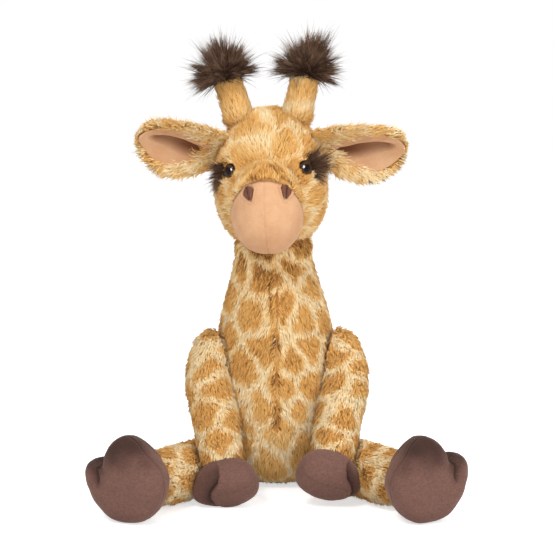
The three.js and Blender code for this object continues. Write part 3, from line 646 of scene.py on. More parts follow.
def grow(
    name, body, skin, flow, tone_of, seed, length=6.5, lift=(44, 14), tangle=0.16, clump=0.6,
    keep=None, hidden_by=(), length_of=None, glow=(0, 0, 0),
):
    """Short fur on a skin. flow(points) gives the way that it is combed, tone_of(points) how
    brown it is and length_of(points) how long. keep(points, normals) says where there is fur.
    lift is how steep each half of a fibre is, in degrees. Thin fur takes light from the far side
    too: glow turns its shading that way."""
    rng = np.random.default_rng(seed)
    roots, normals = skin.scatter(FIBRES_PER_MM2, rng)
    if keep:
        kept = keep(roots, normals)
        roots, normals = roots[kept], normals[kept]
    free = outside(roots + normals * 1.2, hidden_by, 1.5)
    roots, normals = roots[free], normals[free]
    count = len(roots)
    way = combed(flow(roots), normals)
    stray = tangle * rng.normal(size=(count, 3)) + 0.35 * noises(roots, 9, seed)
    way = combed(way + stray, normals)
    gather = slope_of_noise(roots, LOCK_SIZE, seed + 5)
    gather -= normals * dot(gather, normals)
    long = length * (1 + 0.16 * rng.normal(size=count)).clip(0.55, 1.5)
    if length_of:
        long = long * length_of(roots)
    rise = np.radians(np.array(lift)[None] + rng.normal(size=(count, 2)) * 9)
    spine = [roots - normals * ROOT_DEPTH]
    for angle, gathered in zip(rise.T[:, :, None], (0.12, 0.3)):
        heading = np.cos(angle) * way + np.sin(angle) * normals
        heading = unit(heading + gather * clump * gathered)
        spine.append(spine[-1] + heading * (long / 2)[:, None])
    spine = no_lower(np.stack(spine, axis=1), 0.8)
    radii = FIBRE_RADIUS * (1 + 0.25 * rng.normal(size=(count, 1))).clip(0.5, 1.6)
    tone = tone_of(roots - way * (3.2 * rng.random(count))[:, None])
    tone = tone + 0.07 * rng.normal(size=count) + 0.05 * noise(roots, LOCK_SIZE, seed + 5)
    lightness = 0.08 * rng.normal(size=count)
    along = np.clip(np.array([0.1, 0.55, 0.93])[None] + lightness[:, None], 0, 1)
    shading = unit(normals + np.array(glow))
    strands = Strands(spine, radii, shading, np.clip(tone, 0, 1), along, rng)
    pieces = max(math.ceil(count / STRANDS_EACH), 1)
    order = np.argsort(roots[:, 2], kind="stable")
    for k, picked in enumerate(np.array_split(order, pieces)):
        label = name if pieces == 1 else f"{name}_{k + 1}"
        dressed(strands.object(label, FUR, picked), body, "fur")


# The net of patches


class Patches:
    """Uneven patches with a pale net between them, spread over a skin. edge holds how far from the
    middle of the net a patch starts, and how far it is fully brown."""

    def __init__(self, skin, spacing, seed, stretch=(1, 1, 0.82), depth=0.8, edge=(1.5, 7.5)):
        self.stretch, self.seed, self.depth, self.edge = np.array(stretch), seed, depth, edge
        rng = np.random.default_rng(seed)
        tried, _ = skin.scatter(PATCH_TRIES / skin.areas.sum(), rng)
        chosen = []
        for p in self.bent(tried):
            if all(np.linalg.norm(p - c) > spacing for c in chosen):
                chosen.append(p)
        self.middles = np.array(chosen)

    def bent(self, points):
        bend = 5 * noises(points, 21, self.seed) + 1.6 * noises(points, 7, self.seed + 4)
        return (points + bend) * self.stretch

    def __call__(self, points):
        """How brown the fur is: most in the middle of a patch, and least on the net."""
        found = []
        for part in np.array_split(self.bent(points), max(len(points) // 4000, 1)):
            gaps = np.linalg.norm(part[:, None] - self.middles[None], axis=2)
            two = np.partition(gaps, 1, axis=1)[:, :2]
            found.append(two[:, 1] - two[:, 0])
        edge = np.concatenate(found) + 1.5 * noise(points, 5, self.seed + 9)
        edge = edge + 2 * noise(points, 26, self.seed + 21)
        dye = self.depth * (1 + 0.22 * noise(points, 24, self.seed + 13))
        net = 0.12 + 0.12 * noise(points, 20, self.seed + 17)
        return np.clip(net + (dye - net) * step(*self.edge, edge), 0, 0.83)


# Materials


class Nodes:
    """The node tree of a new material or world, written as calls. Colours are red, green, blue."""

    def __init__(self, name, kind=bpy.data.materials):
        self.owner = kind.new(name)
        self.owner.use_nodes = True
        self.tree = self.owner.node_tree

    def feed(self, node, inputs):
        """Links outputs to a node's inputs, or writes plain values there."""
        for key, value in inputs.items():
            socket = node.inputs[key]
            if isinstance(value, bpy.types.NodeSocket):
                self.tree.links.new(value, socket)
            else:
                socket.default_value = (*value, 1) if socket.type == "RGBA" else value

    def add(self, kind, inputs={}, **settings):
        node = self.tree.nodes.new(kind)
        for key, value in settings.items():
            setattr(node, key, value)
        self.feed(node, inputs)
        return node.outputs

    def shade(self, **values):
        """Sets the material's shader, and returns the material."""
        shader = self.tree.nodes["Principled BSDF"]
        self.feed(shader, {key.replace("_", " "): value for key, value in values.items()})
        return self.owner

    def show(self, surface, kind="Material"):
        self.feed(self.tree.nodes[kind + " Output"], {"Surface": surface})

    def read(self, name):
        return self.add("ShaderNodeAttribute", attribute_name=name)["Fac"]

    def ramp(self, value, *stops):
        """A colour that follows a value, through stops of a place and a colour."""
        output = self.add("ShaderNodeValToRGB", {"Fac": value})["Color"]
        elements = output.node.color_ramp.elements
        elements.remove(elements[1])
        elements[0].position = stops[0][0]
        elements[0].color = (*stops[0][1:], 1)
        for place, *colour in stops[1:]:
            elements.new(place).color = (*colour, 1)
        return output

    def mix(self, share, a, b, blend="MIX"):
        inputs = {0: share, 6: a, 7: b}
        return self.add("ShaderNodeMix", inputs, data_type="RGBA", blend_type=blend)[2]

    def cloud(self, size, detail=2.0, stretch=(1, 1, 1)):
        """Noise from 0 to 1 with features of that size in millimetres."""
        where = self.add("ShaderNodeTexCoord")["Object"]
        place = self.add("ShaderNodeMapping", {"Scale": stretch, "Vector": where})["Vector"]
        inputs = {"Scale": 1 / (size * MM), "Detail": detail, "Vector": place}
        return self.add("ShaderNodeTexNoise", inputs)["Fac"]

    def bump(self, height, depth):
        inputs = {"Distance": depth * MM, "Strength": 1.0, "Height": height}
        return self.add("ShaderNodeBump", inputs)["Normal"]

    def where_seen(self, unseen, seen):
        """One shader where the camera sees it, also in a gloss or through something clear, and
        another for the rest of the light."""
        paths = self.add("ShaderNodeLightPath")
        share = paths["Is Camera Ray"]
        for kind in ("Is Glossy Ray", "Is Transmission Ray"):
            share = self.add("ShaderNodeMath", {0: share, 1: paths[kind]}, operation="MAXIMUM")[0]
        return self.add("ShaderNodeMixShader", {0: share, 1: unseen, 2: seen})[0]


def fur_material():
    n = Nodes("caramel_fur")
    tone = n.read("tone")
    tips = n.ramp(
        tone, (0, 0.95, 0.78, 0.5), (0.3, 0.91, 0.66, 0.34), (0.62, 0.83, 0.49, 0.17),
        (0.8, 0.74, 0.39, 0.115), (0.9, 0.62, 0.3, 0.08), (1, 0.19, 0.08, 0.025),
    )
    roots = n.ramp(
        tone, (0, 0.86, 0.58, 0.26), (0.5, 0.72, 0.39, 0.11), (0.8, 0.58, 0.26, 0.06),
        (0.9, 0.46, 0.19, 0.045), (1, 0.12, 0.048, 0.016),
    )
    # Darker towards the roots: partly the pile's own tan roots, partly painted shade between the
    # fibres.
    climb = n.ramp(n.read("along"), (0.05, 0, 0, 0), (0.75, 1, 1, 1))
    return n.shade(
        Base_Color=n.mix(climb, roots, tips), Roughness=0.85, Sheen_Weight=0.08,
        Sheen_Roughness=0.5, Specular_IOR_Level=0.08,
    )


def backing_material():
    n = Nodes("fur_backing")
    colours = n.ramp(
        n.read("tone"), (0, 0.82, 0.53, 0.22), (0.5, 0.68, 0.35, 0.1), (0.9, 0.5, 0.22, 0.055),
        (1, 0.05, 0.022, 0.012),
    )
    weave = n.cloud(0.9)
    shade = n.ramp(weave, (0.3, 0.75, 0.75, 0.75), (0.7, 1, 1, 1))
    colour = n.mix(1.0, colours, shade, "MULTIPLY")
    return n.shade(Base_Color=colour, Roughness=0.95, Normal=n.bump(weave, 0.3))


def long_pile_material():
    n = Nodes("dark_long_pile")
    along = n.read("along")
    dark = n.ramp(
        along, (0, 0.014, 0.007, 0.004), (0.5, 0.024, 0.011, 0.006), (1, 0.075, 0.037, 0.02)
    )
    pale = n.ramp(along, (0, 0.04, 0.018, 0.01), (0.5, 0.15, 0.078, 0.045), (1, 0.42, 0.26, 0.17))
    colour = n.mix(n.read("tone"), dark, pale)
    return n.shade(Base_Color=colour, Roughness=0.6, Specular_IOR_Level=0.12)


def cloth_material(name, mottle, colours, grain_size, fleck, painted_shade, depth, **looks):
    """Cloth that is mottled and flecked in its grain, with painted shade mixed in by its fold
    layer.
    """
    n = Nodes(name)
    grain = n.cloud(grain_size, 3)
    flecks = n.ramp(grain, (0.3, *fleck[0]), (0.7, *fleck[1]))
    colour = n.mix(1.0, n.ramp(n.cloud(*mottle), *colours), flecks, "MULTIPLY")
    # The last colour is painted shade, mixed in as far as the fold layer says.
    colour = n.mix(n.read("fold"), colour, painted_shade)
    return n.shade(
        Base_Color=colour, Specular_IOR_Level=0.15, Normal=n.bump(grain, depth), **looks
    )


def eye_material():
    n = Nodes("eye_gloss")
    ring = n.ramp(
        n.read("rim"), (0, 0.0008, 0.0006, 0.0006), (0.5, 0.001, 0.0007, 0.0006),
        (0.62, 0.012, 0.005, 0.002), (0.84, 0.009, 0.004, 0.0016), (0.93, 0.001, 0.0008, 0.0008),
    )
    return n.shade(Base_Color=ring, Roughness=0.05, Specular_IOR_Level=0.09)


def thread_material():
    n = Nodes("brown_thread")
    colour = n.ramp(n.cloud(0.5), (0.3, 0.1, 0.029, 0.014), (0.7, 0.27, 0.092, 0.043))
    colour = n.mix(n.read("fold"), colour, (0.035, 0.012, 0.007))
    return n.shade(Base_Color=colour, Roughness=0.6)


def plain_material(name, colour, roughness, size):
    """For pieces inside the toy: one colour, mottled and grained at that size."""
    n = Nodes(name)
    grain = n.cloud(size, 3)
    colours = n.ramp(grain, (0.3, *(0.8 * c for c in colour)), (0.7, *colour))
    return n.shade(Base_Color=colours, Roughness=roughness, Normal=n.bump(grain, 0.1))


FUR = fur_material()
BACKING = backing_material()
LONG_PILE = long_pile_material()
# The sixth argument of each cloth is the colour of its painted shade.
PEACH = cloth_material(
    "peach_velboa", (14, 3), [(0.3, 0.62, 0.335, 0.175), (0.7, 0.71, 0.42, 0.24)], 0.7,
    [(0.86, 0.84, 0.82), (1, 1, 1)], (0.15, 0.05, 0.02), 0.35,
    Roughness=0.85, Sheen_Weight=0.12, Sheen_Roughness=0.4,
)
VELOUR = cloth_material(
    "taupe_velour", (2.6, 3, (1, 1, 1.8)),
    [(0.25, 0.147, 0.074, 0.058), (0.5, 0.174, 0.089, 0.07), (0.8, 0.202, 0.106, 0.083)], 0.8,
    [(0.78, 0.76, 0.75), (1.08, 1.08, 1.08)], (0.03, 0.014, 0.011), 0.4,
    Roughness=0.8, Sheen_Weight=0.35, Sheen_Roughness=0.35, Sheen_Tint=(0.62, 0.44, 0.38),
)
EYE = eye_material()
THREAD = thread_material()


# Camera, light and floor


def set_stage():
    scene = bpy.context.scene
    scene.view_settings.view_transform = "Standard"
    back = Vector((0, -math.cos(CAMERA_RISE), math.sin(CAMERA_RISE)))
    camera = linked("camera", bpy.data.cameras.new("camera"))
    camera.location = CAMERA_AIM + back * CAMERA_DISTANCE
    camera.rotation_euler = (-back).to_track_quat("-Z", "Y").to_euler()
    camera.data.sensor_width = 36
    camera.data.lens = CAMERA_LENS
    scene.camera = camera

    n = Nodes("studio", bpy.data.worlds)
    scene.world = n.owner
    light = n.tree.nodes["Background"]
    n.feed(light, {"Color": (1, 1, 1), "Strength": 0.58})
    white = n.add("ShaderNodeBackground", {"Color": (1, 1, 1)})
    n.show(n.where_seen(light.outputs[0], white[0]), "World")

    for lamp in LAMPS:
        add_lamp(*lamp)
    add_floor()


def add_lamp(name, place, size, power):
    lamp = bpy.data.lights.new(name, "AREA")
    lamp.shape = "DISK"
    lamp.size = size
    lamp.energy = power
    thing = linked(name, lamp)
    thing.location = place
    aim = LAMP_AIM - thing.location
    thing.rotation_euler = aim.to_track_quat("-Z", "Y").to_euler()
    thing.visible_glossy = name == "key" or name.startswith("catchlight")
    return thing


def add_catchlight(eye, label, side):
    """A lamp that only one eye sees, for one clear highlight in it."""
    lamp = add_lamp("catchlight_" + label, (side * 0.95 - 0.1, -1.28, 0.66), 0.8, 190.0)
    seen = bpy.data.collections.new("lit_" + label)
    seen.objects.link(eye)
    lamp.light_linking.receiver_collection = seen


def add_floor():
    """A pale floor that is white to the camera and keeps a faint shadow."""
    n = Nodes("white_floor")
    n.shade(Base_Color=(0.82, 0.82, 0.82), Roughness=0.9)
    nothing, glow = (n.add("ShaderNodeEmission", {"Strength": s})[0] for s in (0, 0.61))
    lit = n.tree.nodes["Principled BSDF"].outputs[0]
    n.show(n.add("ShaderNodeAddShader", {0: lit, 1: n.where_seen(nothing, glow)})[0])
    reach = 4000
    corners = [(x * reach, y * reach, 0) for x, y in ((-1, -1), (1, -1), (1, 1), (-1, 1))]
    floor = mesh_object("floor", corners, [(0, 1, 2, 3)])
    floor.data.materials.append(n.owner)


# Body and neck


def taper(z):
    """How far the body is out from the neck's size to the belly's, at a height over the belly."""
    return smooth(TAPER_SHARES, np.minimum((z - BELLY_HEIGHT) / (NECK_FOOT - BELLY_HEIGHT), 1))


def torso_ring(z):
    if z <= BELLY_HEIGHT:
        share = (z + FLAT_DEPTH) / (BELLY_HEIGHT + FLAT_DEPTH)
        halves = BELLY_HALVES * smooth(SEAT_SHARES, share)
        centre = (0, SEAT_SHIFT * smooth(SEAT_SHARES, share, 2), z)
    else:
        swell = taper(z)
        over = max(z - (NECK_TOP - NECK_CAP), 0) / NECK_CAP
        halves = NECK_RADIUS + (BELLY_HALVES - NECK_RADIUS) * swell
        halves = halves * math.sqrt(max(1 - over**2, 0))
        centre = (-NECK_LEAN * (1 - swell), 0, z)
    return ellipse(np.array(centre), *halves, 120)


def torso_skin():
    heights = np.concatenate([
        np.linspace(0, BELLY_HEIGHT, 20)[:-1],
        np.linspace(BELLY_HEIGHT, NECK_TOP - NECK_CAP, 70)[:-1],
        NECK_TOP - NECK_CAP + NECK_CAP * np.sin(np.linspace(0, 1.5, 9)),
    ])
    return lofted([torso_ring(z) for z in heights])


def torso_flow(points):
    """Down the body, a little away from the middle of the chest."""
    x, y, z = points.T
    front = (y < 0) & (z < 175) & (z > 50)
    aside = np.where(front, 0.55 * np.sign(x) * np.exp(-np.abs(x) / 9), 0)
    return np.stack([aside, 0 * x, 0 * x - 1], axis=1)


# Head

HEAD = (turned("z", HEAD_YAW) @ turned("y", HEAD_ROLL), np.array([-NECK_LEAN, 0, NECK_JOINT]))


def skull(share):
    """The half width of the head at a share of its height, and its depths to front and back."""
    return [half * smooth(HEAD_SHARES, share, k + 1) for k, half in enumerate(HEAD_HALVES)]


def skull_skin():
    rings = []
    for share in crowded(60)[1:-1]:
        half, front, back = skull(share)
        centre = np.array([0, (back - front) / 2, HEAD_BOTTOM + HEAD_HEIGHT * share])
        rings.append(ellipse(centre, half, (front + back) / 2, 96))
    return lofted(rings)


def muzzle_egg(sides):
    form = egg(MUZZLE_HALF_WIDTH, MUZZLE_HALF_DEPTH, MUZZLE_RISE, MUZZLE_DROP, sides)
    return form.moved(np.array([0, -MUZZLE_FORWARD, MUZZLE_HEIGHT]))


def past_seam(points):
    """How far points lie beyond the plane of the seam round the muzzle."""
    return (points - np.array([0, -SEAM_FORWARD, MUZZLE_HEIGHT])) @ SEAM_OUTWARD


def head_skin():
    sleeve = muzzle_egg(120).moved(SLEEVE)
    sleeve = sleeve.moved(-np.maximum(past_seam(sleeve.points), 0)[:, None] * SEAM_OUTWARD)
    bridge = egg(*BRIDGE_HALVES, BRIDGE_HALVES[2], 60).moved(BRIDGE)
    return merged([skull_skin(), sleeve, bridge], 1.9, 9)


def head_flow(points):
    """Away from the muzzle over the face, and down the back of the head."""
    p = seen_from(points, HEAD)
    middle = np.array([0, -MUZZLE_FORWARD, MUZZLE_HEIGHT + 6])
    face = step(-14, 16, -p[:, 1])[:, None]
    return (face * unit(p - middle) + (1 - face) * np.array([0, 0.2, -1.0])) @ HEAD[0].T


def eye_frame(side):
    """A frame on the skull's face, where an eye is: z looks out, and y is up."""
    half_width, front, back = skull((EYE_HEIGHT - HEAD_BOTTOM) / HEAD_HEIGHT)
    half = (front + back) / 2
    dip = math.sqrt(1 - (EYE_SPREAD / half_width) ** 2)
    place = (side * EYE_SPREAD, (back - front) / 2 - half * dip, EYE_HEIGHT)
    return frame_at(place, (side * EYE_SPREAD / half_width**2, -dip / half, 0))


def nostril_frame(side):
    across = side * NOSTRIL_SPREAD + NOSTRIL_SHIFT[side]
    inside = (across / MUZZLE_HALF_WIDTH) ** 2 + (NOSTRIL_RISE / MUZZLE_RISE) ** 2
    forward = MUZZLE_HALF_DEPTH * math.sqrt(1 - inside)
    place = (across, -MUZZLE_FORWARD - forward, MUZZLE_HEIGHT + NOSTRIL_RISE)
    halves = np.array([MUZZLE_HALF_WIDTH, MUZZLE_HALF_DEPTH, MUZZLE_RISE])
    axes, at = frame_at(place, (across, -forward, NOSTRIL_RISE) / halves**2)
    return axes @ turned("z", side * NOSTRIL_LEAN), at


def teardrop(share):
    """Half the width of a nostril at a share of its length, from its lower point up."""
    above = np.sqrt(np.clip(1 - ((share - NOSTRIL_WIDEST) / (1 - NOSTRIL_WIDEST)) ** 2, 0, 1))
    below = np.clip(share / NOSTRIL_WIDEST, 0, 1) ** 0.75
    return NOSTRIL_HALF_WIDTH * np.where(share > NOSTRIL_WIDEST, above, below)


def nostril_gap(points, side):
    """How far points of the muzzle lie outside a nostril's teardrop, looking straight at it, and
    how far up it."""
    x, y, z = seen_from(points, nostril_frame(side)).T
    share = np.clip(y / NOSTRIL_HALF_LENGTH / 2 + 0.5, 0.02, 0.98)
    beyond = np.abs(y) - NOSTRIL_HALF_LENGTH
    gap = np.hypot(np.maximum(np.abs(x) - teardrop(share), 0), np.maximum(beyond, 0))
    return np.where(np.abs(z) < 12, gap, 99), y


def nostril_skin(side):
    """Satin stitches that meet on the middle line of a teardrop, like the veins of a leaf."""
    stitches = []
    for hand in (1, -1):
        for share in (np.arange(STITCHES) + 0.5) / STITCHES:
            outer = min(share + 0.13, 0.985)
            start = np.array([hand * 0.25, NOSTRIL_HALF_LENGTH * (2 * share - 1), 0.1])
            end = np.array([hand * teardrop(outer), NOSTRIL_HALF_LENGTH * (2 * outer - 1), -0.2])
            high = (start + end) / 2 + 0.75 * UP
            stitches.append(limb([start, high, end], 0.36, EVEN, 7, 10, 1))
    return Skin(*joined(stitches)).put(within(HEAD, nostril_frame(side)))


def muzzle_skin():
    """The egg of cloth, drawn in along its middle seam, with a soft rim round each nostril."""
    form = muzzle_egg(300)
    x, y, z = form.points.T
    inward = 0.3 * hump(x, 0.9) * step(-MUZZLE_FORWARD + 8, -MUZZLE_FORWARD - 6, y)
    inward = inward - 0.5 * noise(form.points, 16, 31) - 0.15 * noise(form.points, 5, 32)
    for side in (1, -1):
        gap, height = nostril_gap(form.points, side)
        inward = inward + 1.1 * hump(gap, 0.8) - 1.6 * hump(gap - 1.3, 0.95) * step(-7, -1, height)
    inward = inward + 4.2 * step(0, 3.2, -past_seam(form.points))
    return form.moved(-form.normals * inward[:, None])


def eye_dome(side):
    profile = [(EYE_RADIUS * 0.8, -3.5), (EYE_RADIUS, -2.5)]
    for angle in np.linspace(0, np.pi / 2, 16)[:-1]:
        profile.append((EYE_RADIUS * math.cos(angle), -0.8 + EYE_DOME * math.sin(angle)))
    axes, at = eye_frame(side)
    at = within(HEAD, (axes, at - EYE_SUNK * axes[:, 2]))
    return lofted([ellipse(np.array([0, 0, z]), r, r, 48) for r, z in profile]).put(at)


def nearest_gap(points, middles, radius):
    """How far points lie outside the nearest of some balls."""
    return np.linalg.norm(points[:, None] - np.array(middles), axis=2).min(axis=1) - radius


def eye_gap(points):
    """How far points of the head lie outside the nearer eye's rim."""
    return nearest_gap(points, [eye_frame(side)[1] for side in (1, -1)], EYE_RADIUS)


def lash_gap(points):
    """How far points of the head lie outside the dark patch beside the nearer eye."""
    middles = []
    for side, bearing in LASH_MIDDLE.items():
        lean = math.radians(bearing)
        way = LASH_PATCH_SHIFT * np.array([math.cos(lean) * side, math.sin(lean), 0])
        middles.append(placed(way, eye_frame(side)))
    return nearest_gap(points, middles, LASH_PATCH_RADIUS)


def build_head():
    skin = head_skin()
    patches = Patches(skin, 19, 405, (1, 1, 1), 0.62, (2, 8))
    socket = 1 - step(0, 7, eye_gap(skin.points))
    inner = skin.moved(-skin.normals * (PILE - 1.9 * socket)[:, None])
    world = inner.put(HEAD)
    dark = np.maximum(patches(inner.points), 1 - step(1, 4, lash_gap(inner.points)))
    add_skin("head_skin", world, BACKING, "head", "fur", "head", 0.85, tone=dark)

    muzzle = muzzle_skin()
    muzzle_tree = muzzle.tree()
    # A darker line down the middle seam; painted shadow where the fur covers the cloth, a darker
    # edge at each nostril and painted shadow round its rim.
    fold = 0.06 * hump(muzzle.points[:, 0], 0.7)
    fold = fold + 0.85 * (1 - step(-0.5, 2.2, past_seam(muzzle.points)))
    for side in (1, -1):
        gap, _ = nostril_gap(muzzle.points, side)
        fold = fold + 0.3 * hump(gap, 0.45) + 0.2 * hump(gap - 2.6, 0.5)
    add_skin(
        "muzzle_cloth", muzzle.put(HEAD), PEACH, "head", "peach_cloth", "muzzle", 0.85,
        fold=np.clip(fold, 0, 1),
    )

    def tone(points):
        """Patches with a caramel brow over the muzzle, cream between the eyes, and two patches on
        the crown with a pale parting between them."""
        p = seen_from(points, HEAD)
        x, y, z = p.T
        face, top = step(16, 26, -y), step(-4, 8, -y)

        def spot(across, height, half_width, half_height):
            return hump(x - across, half_width) * hump(z - height, half_height)

        brow = spot(0, 60, 21, 7.5) * face
        cream = spot(-5, 81, 14, 10) * face
        crown = (0.4 * spot(13, 101, 8, 6) + 0.35 * spot(-13, 97, 6, 6)) * top
        parting = spot(2 * noise(points, 9, 409) - 1, 101, 4, 11) * top
        # Painted shade: dark specks at the foot of the brow, just over the muzzle's top edge.
        gaps = 0.16 * spot(0, 55, 17, 3.5) * face * step(-0.1, 0.5, noise(points, 2.6, 406))
        whole = 0.08 + patches(p) * (1 - 0.75 * brow) * (1 - 0.75 * cream)
        whole = np.minimum(whole + crown, 0.72) * (1 - 0.85 * parting)
        whole = whole + 0.1 * noise(points * np.array([1, 1, 0.4]), 3.5, 408)
        return whole + (0.68 + 0.14 * noise(points, 4, 405)) * brow + 0.05 * cream + gaps

    def keep(points, normals):
        p = seen_from(points, HEAD)
        clear = np.min([nostril_gap(p, side)[0] for side in (1, -1)], axis=0) > NOSTRIL_BARE
        clear = clear & (past_seam(p) < -0.2) & outside(p, [muzzle_tree], 0.2)
        return clear & (lash_gap(p) > 2 * noise(points, 3, 407)) & (eye_gap(p) > 0.2)

    def length_of(points):
        p = seen_from(points, HEAD)
        return (0.4 + 0.6 * step(0, 7, eye_gap(p))) * (1 - 0.35 * step(97, 110, p[:, 2]))

    grow(
        "head_fur", "head", world, head_flow, tone, 11, keep=keep, length=7, length_of=length_of
    )
    for label, side in SIDES:
        eye = eye_dome(side)
        local = seen_from(eye.points, within(HEAD, eye_frame(side)))
        rim = np.hypot(local[:, 0], local[:, 1]) / EYE_RADIUS
        thing = add_skin("eye_dome_" + label, eye, EYE, "head", "eye", "eye_" + label, rim=rim)
        add_catchlight(thing, label, side)
        nostril = nostril_skin(side)
        local = seen_from(nostril.points, within(HEAD, nostril_frame(side)))
        add_skin(
            "nostril_stitch_" + label, nostril, THREAD, "head", "stitching", "nostril_" + label,
            fold=0.9 * hump(local[:, 0], 1.1),
        )
        build_lash(label, side)
        build_horn(label, side)
        build_ear(label, side)
    z = np.linspace(*HEAD_MANE, 40)
    back = skull((z - HEAD_BOTTOM) / HEAD_HEIGHT)[2]
    build_mane("head_mane", "head", HEAD, 0 * z, back, z)


# Long dark fur


def long_strands(name, body, spines, outward, radius, tone, seed, node):
    rng = np.random.default_rng(seed)
    count, rows = spines.shape[:2]
    t = np.linspace(0, 1, rows)
    profile = ((0.7 + 0.3 * np.sin(np.pi * t)) * (1 - t**3))[1:-1]
    radii = (radius * (1 + 0.25 * rng.normal(size=count)).clip(0.5, 1.7))[:, None] * profile[None]
    along = np.clip(t[None] + 0.06 * rng.normal(size=(count, 1)), 0, 1)
    strands = Strands(spines, radii, outward, np.clip(tone, 0, 1), along, rng, radial=0.6)
    dressed(strands.object(name, LONG_PILE, np.arange(count)), body, "long_pile", node)


def tuft_spines(count, rng):
    """Fibres that fan out from a disc at the origin and gather in locks."""
    tilt = np.radians(97) * rng.random(TUFT_LOCKS) ** 0.7
    turn = rng.random(TUFT_LOCKS) * 2 * np.pi
    ways = [np.sin(tilt) * np.cos(turn), np.sin(tilt) * np.sin(turn), np.cos(tilt)]
    ways = np.stack(ways, axis=1)
    lengths = TUFT_REACH * (1 - 0.26 * (tilt / np.radians(80)) ** 0.6)
    lengths = lengths * (1 + 0.09 * rng.normal(size=TUFT_LOCKS))
    lock = rng.integers(TUFT_LOCKS, size=count)
    start = rng.normal(size=(count, 3)) * np.array([3.2, 3.2, 0.9])
    start[:, :2] += ways[lock, :2] * 4
    tip = ways[lock] * (lengths[lock] * (1 - 0.3 * rng.random(count) ** 2))[:, None]
    loose = np.where(rng.random(count) < 0.4, 4.5, 0.6 + 0.9 * rng.random(TUFT_LOCKS)[lock])
    tip += rng.normal(size=(count, 3)) * loose[:, None]
    belly = start * 0.55 + tip * 0.45 + UP * (lengths[lock] * 0.16)[:, None]
    return arched(start, belly, tip), lock


def build_horn(label, side):
    way = np.array([side * math.sin(HORN_LEAN), 0, math.cos(HORN_LEAN)])
    at = within(HEAD, frame_at((side * HORN_SPREAD, HORN_BACK, HORN_BASE), way, (0, 1, 0)))
    path = [(0, 0, 0), (0, 0, HORN_LENGTH / 2), (0, 0, HORN_LENGTH)]
    skin = limb(path, HORN_RADIUS, HORN_SHARES, 48, 40, side).moved(-PILE * 0.8).put(at)

    def tone(points):
        height = seen_from(points, HEAD)[:, 2] - HORN_BASE
        cloud = 0.12 * noise(points, 9, 450 + side)
        bands = step(30, 37, height) + hump(height - 12, 4.5)
        return 0.66 + cloud - HORN_BANDS[side] * np.clip(bands + 2 * cloud, 0, 1)

    add_skin(
        "horn_skin_" + label, skin, BACKING, "head", "fur", "horn_" + label, 0.9,
        tone=tone(skin.points),
    )
    upward = at[0][:, 2]
    grow(
        "horn_fur_" + label, "head", skin, lambda points: upward, tone, 60 + side, length=7,
        lift=(34, 8), tangle=0.1, clump=0.35,
    )
    rng = np.random.default_rng(70 + side)
    curve, lock = tuft_spines(5200, rng)
    tip = within(at, (np.eye(3), (HORN_LENGTH - TUFT_SINK) * UP))
    spines = placed(curve, tip)
    shades = 0.6 * rng.random(len(lock)) ** 3 + 0.55 * rng.random(TUFT_LOCKS)[lock] ** 3
    long_strands(
        "tuft_fur_" + label, "head", spines, unit(spines[:, 3] - tip[1]), 0.2, shades, 80 + side,
        "horn_tuft_" + label,
    )


def build_lash(label, side):
    """Long dark wisps that fan out from the outer rim of the eye, over short dark ones."""
    rng = np.random.default_rng(90 + side)
    wisps, count = 76, 900
    axes, at = within(HEAD, eye_frame(side))
    aside, up, outward = side * axes[:, 0], axes[:, 1], axes[:, 2]

    def ways(bearing):
        return np.cos(bearing)[:, None] * aside + np.sin(bearing)[:, None] * up

    lean = (28 * rng.normal(size=wisps)).clip(-62, 58)
    bearing = np.radians(LASH_MIDDLE[side] + lean)
    long = 10 + 13 * np.cos(np.radians(lean)) ** 2
    long = long * (1 + 0.2 * rng.normal(size=wisps)).clip(0.5, 1.5)
    tip = at + ways(bearing) * (EYE_RADIUS + long)[:, None]
    tip = tip + outward * rng.uniform(-3.5, 0.5, (wisps, 1))
    wisp = rng.integers(wisps, size=count)
    short = rng.random(count) < 0.38
    own = bearing[wisp] + np.radians(np.where(short, 24, 9) * rng.normal(size=count))
    away = EYE_RADIUS * (0.92 + np.where(short, 1.15, 0.5) * rng.random(count))
    root = at + ways(own) * away[:, None] - outward * (1.9 + 0.1 * away[:, None])
    share = np.where(short, 0.38, 1) * (1 - 0.55 * rng.random(count) ** 1.2)
    end = root + (tip[wisp] - root) * share[:, None] + rng.normal(size=(count, 3)) * 1.8
    height = np.where(short, 1.4, 2.6) * (0.7 + 0.6 * rng.random(count))
    spines = arched(root, (root + end) / 2 + outward * height[:, None], end)
    tone = np.where(short, 0.35, 1) * rng.random(count)
    normals = np.tile(outward, (count, 1))
    long_strands(
        "lash_fur_" + label, "head", spines, normals, 0.19, tone, 95 + side, "lash_" + label
    )


def build_mane(name, body, at, leans, backs, heights):
    """A row of wisps on a line up the back, each a little aside and lower than it is rooted."""
    line = np.stack([leans, backs, heights], axis=1)
    outward = np.cross(unit(np.gradient(line, axis=0)), (1.0, 0, 0)) @ at[0].T
    places = placed(line, at)
    rng = np.random.default_rng(len(name) + 300)
    wisps, count = 150, 2800
    pick = rng.integers(len(places), size=wisps)
    beside = (rng.normal(size=wisps) * 2.4).clip(-4.5, 4.5)
    middle = places[pick] + np.array([1.0, 0, 0]) * beside[:, None]
    aside = rng.normal(size=(wisps, 3)) * np.array([0.45, 0.2, 0.2])
    aim = unit(outward[pick] * 0.8 - 0.75 * UP + aside)
    long = 13 * (1 + 0.2 * rng.normal(size=wisps)).clip(0.6, 1.4)
    wisp = rng.integers(wisps, size=count)
    out = outward[pick][wisp]
    root = middle[wisp] + rng.normal(size=(count, 3)) * np.array([1.5, 0.3, 2.2]) - out * 3
    tip = middle[wisp] + aim[wisp] * (long[wisp] * (1 - 0.4 * rng.random(count) ** 2))[:, None]
    tip += rng.normal(size=(count, 3)) * 0.9
    tone = 0.6 * rng.random(count) ** 3 + 0.55 * rng.random(wisps)[wisp] ** 3
    spines = arched(root, root * 0.5 + tip * 0.5 + out * 2.4, tip)
    long_strands(name + "_fur", body, spines, out, 0.26, tone, 310, name)


# Ears


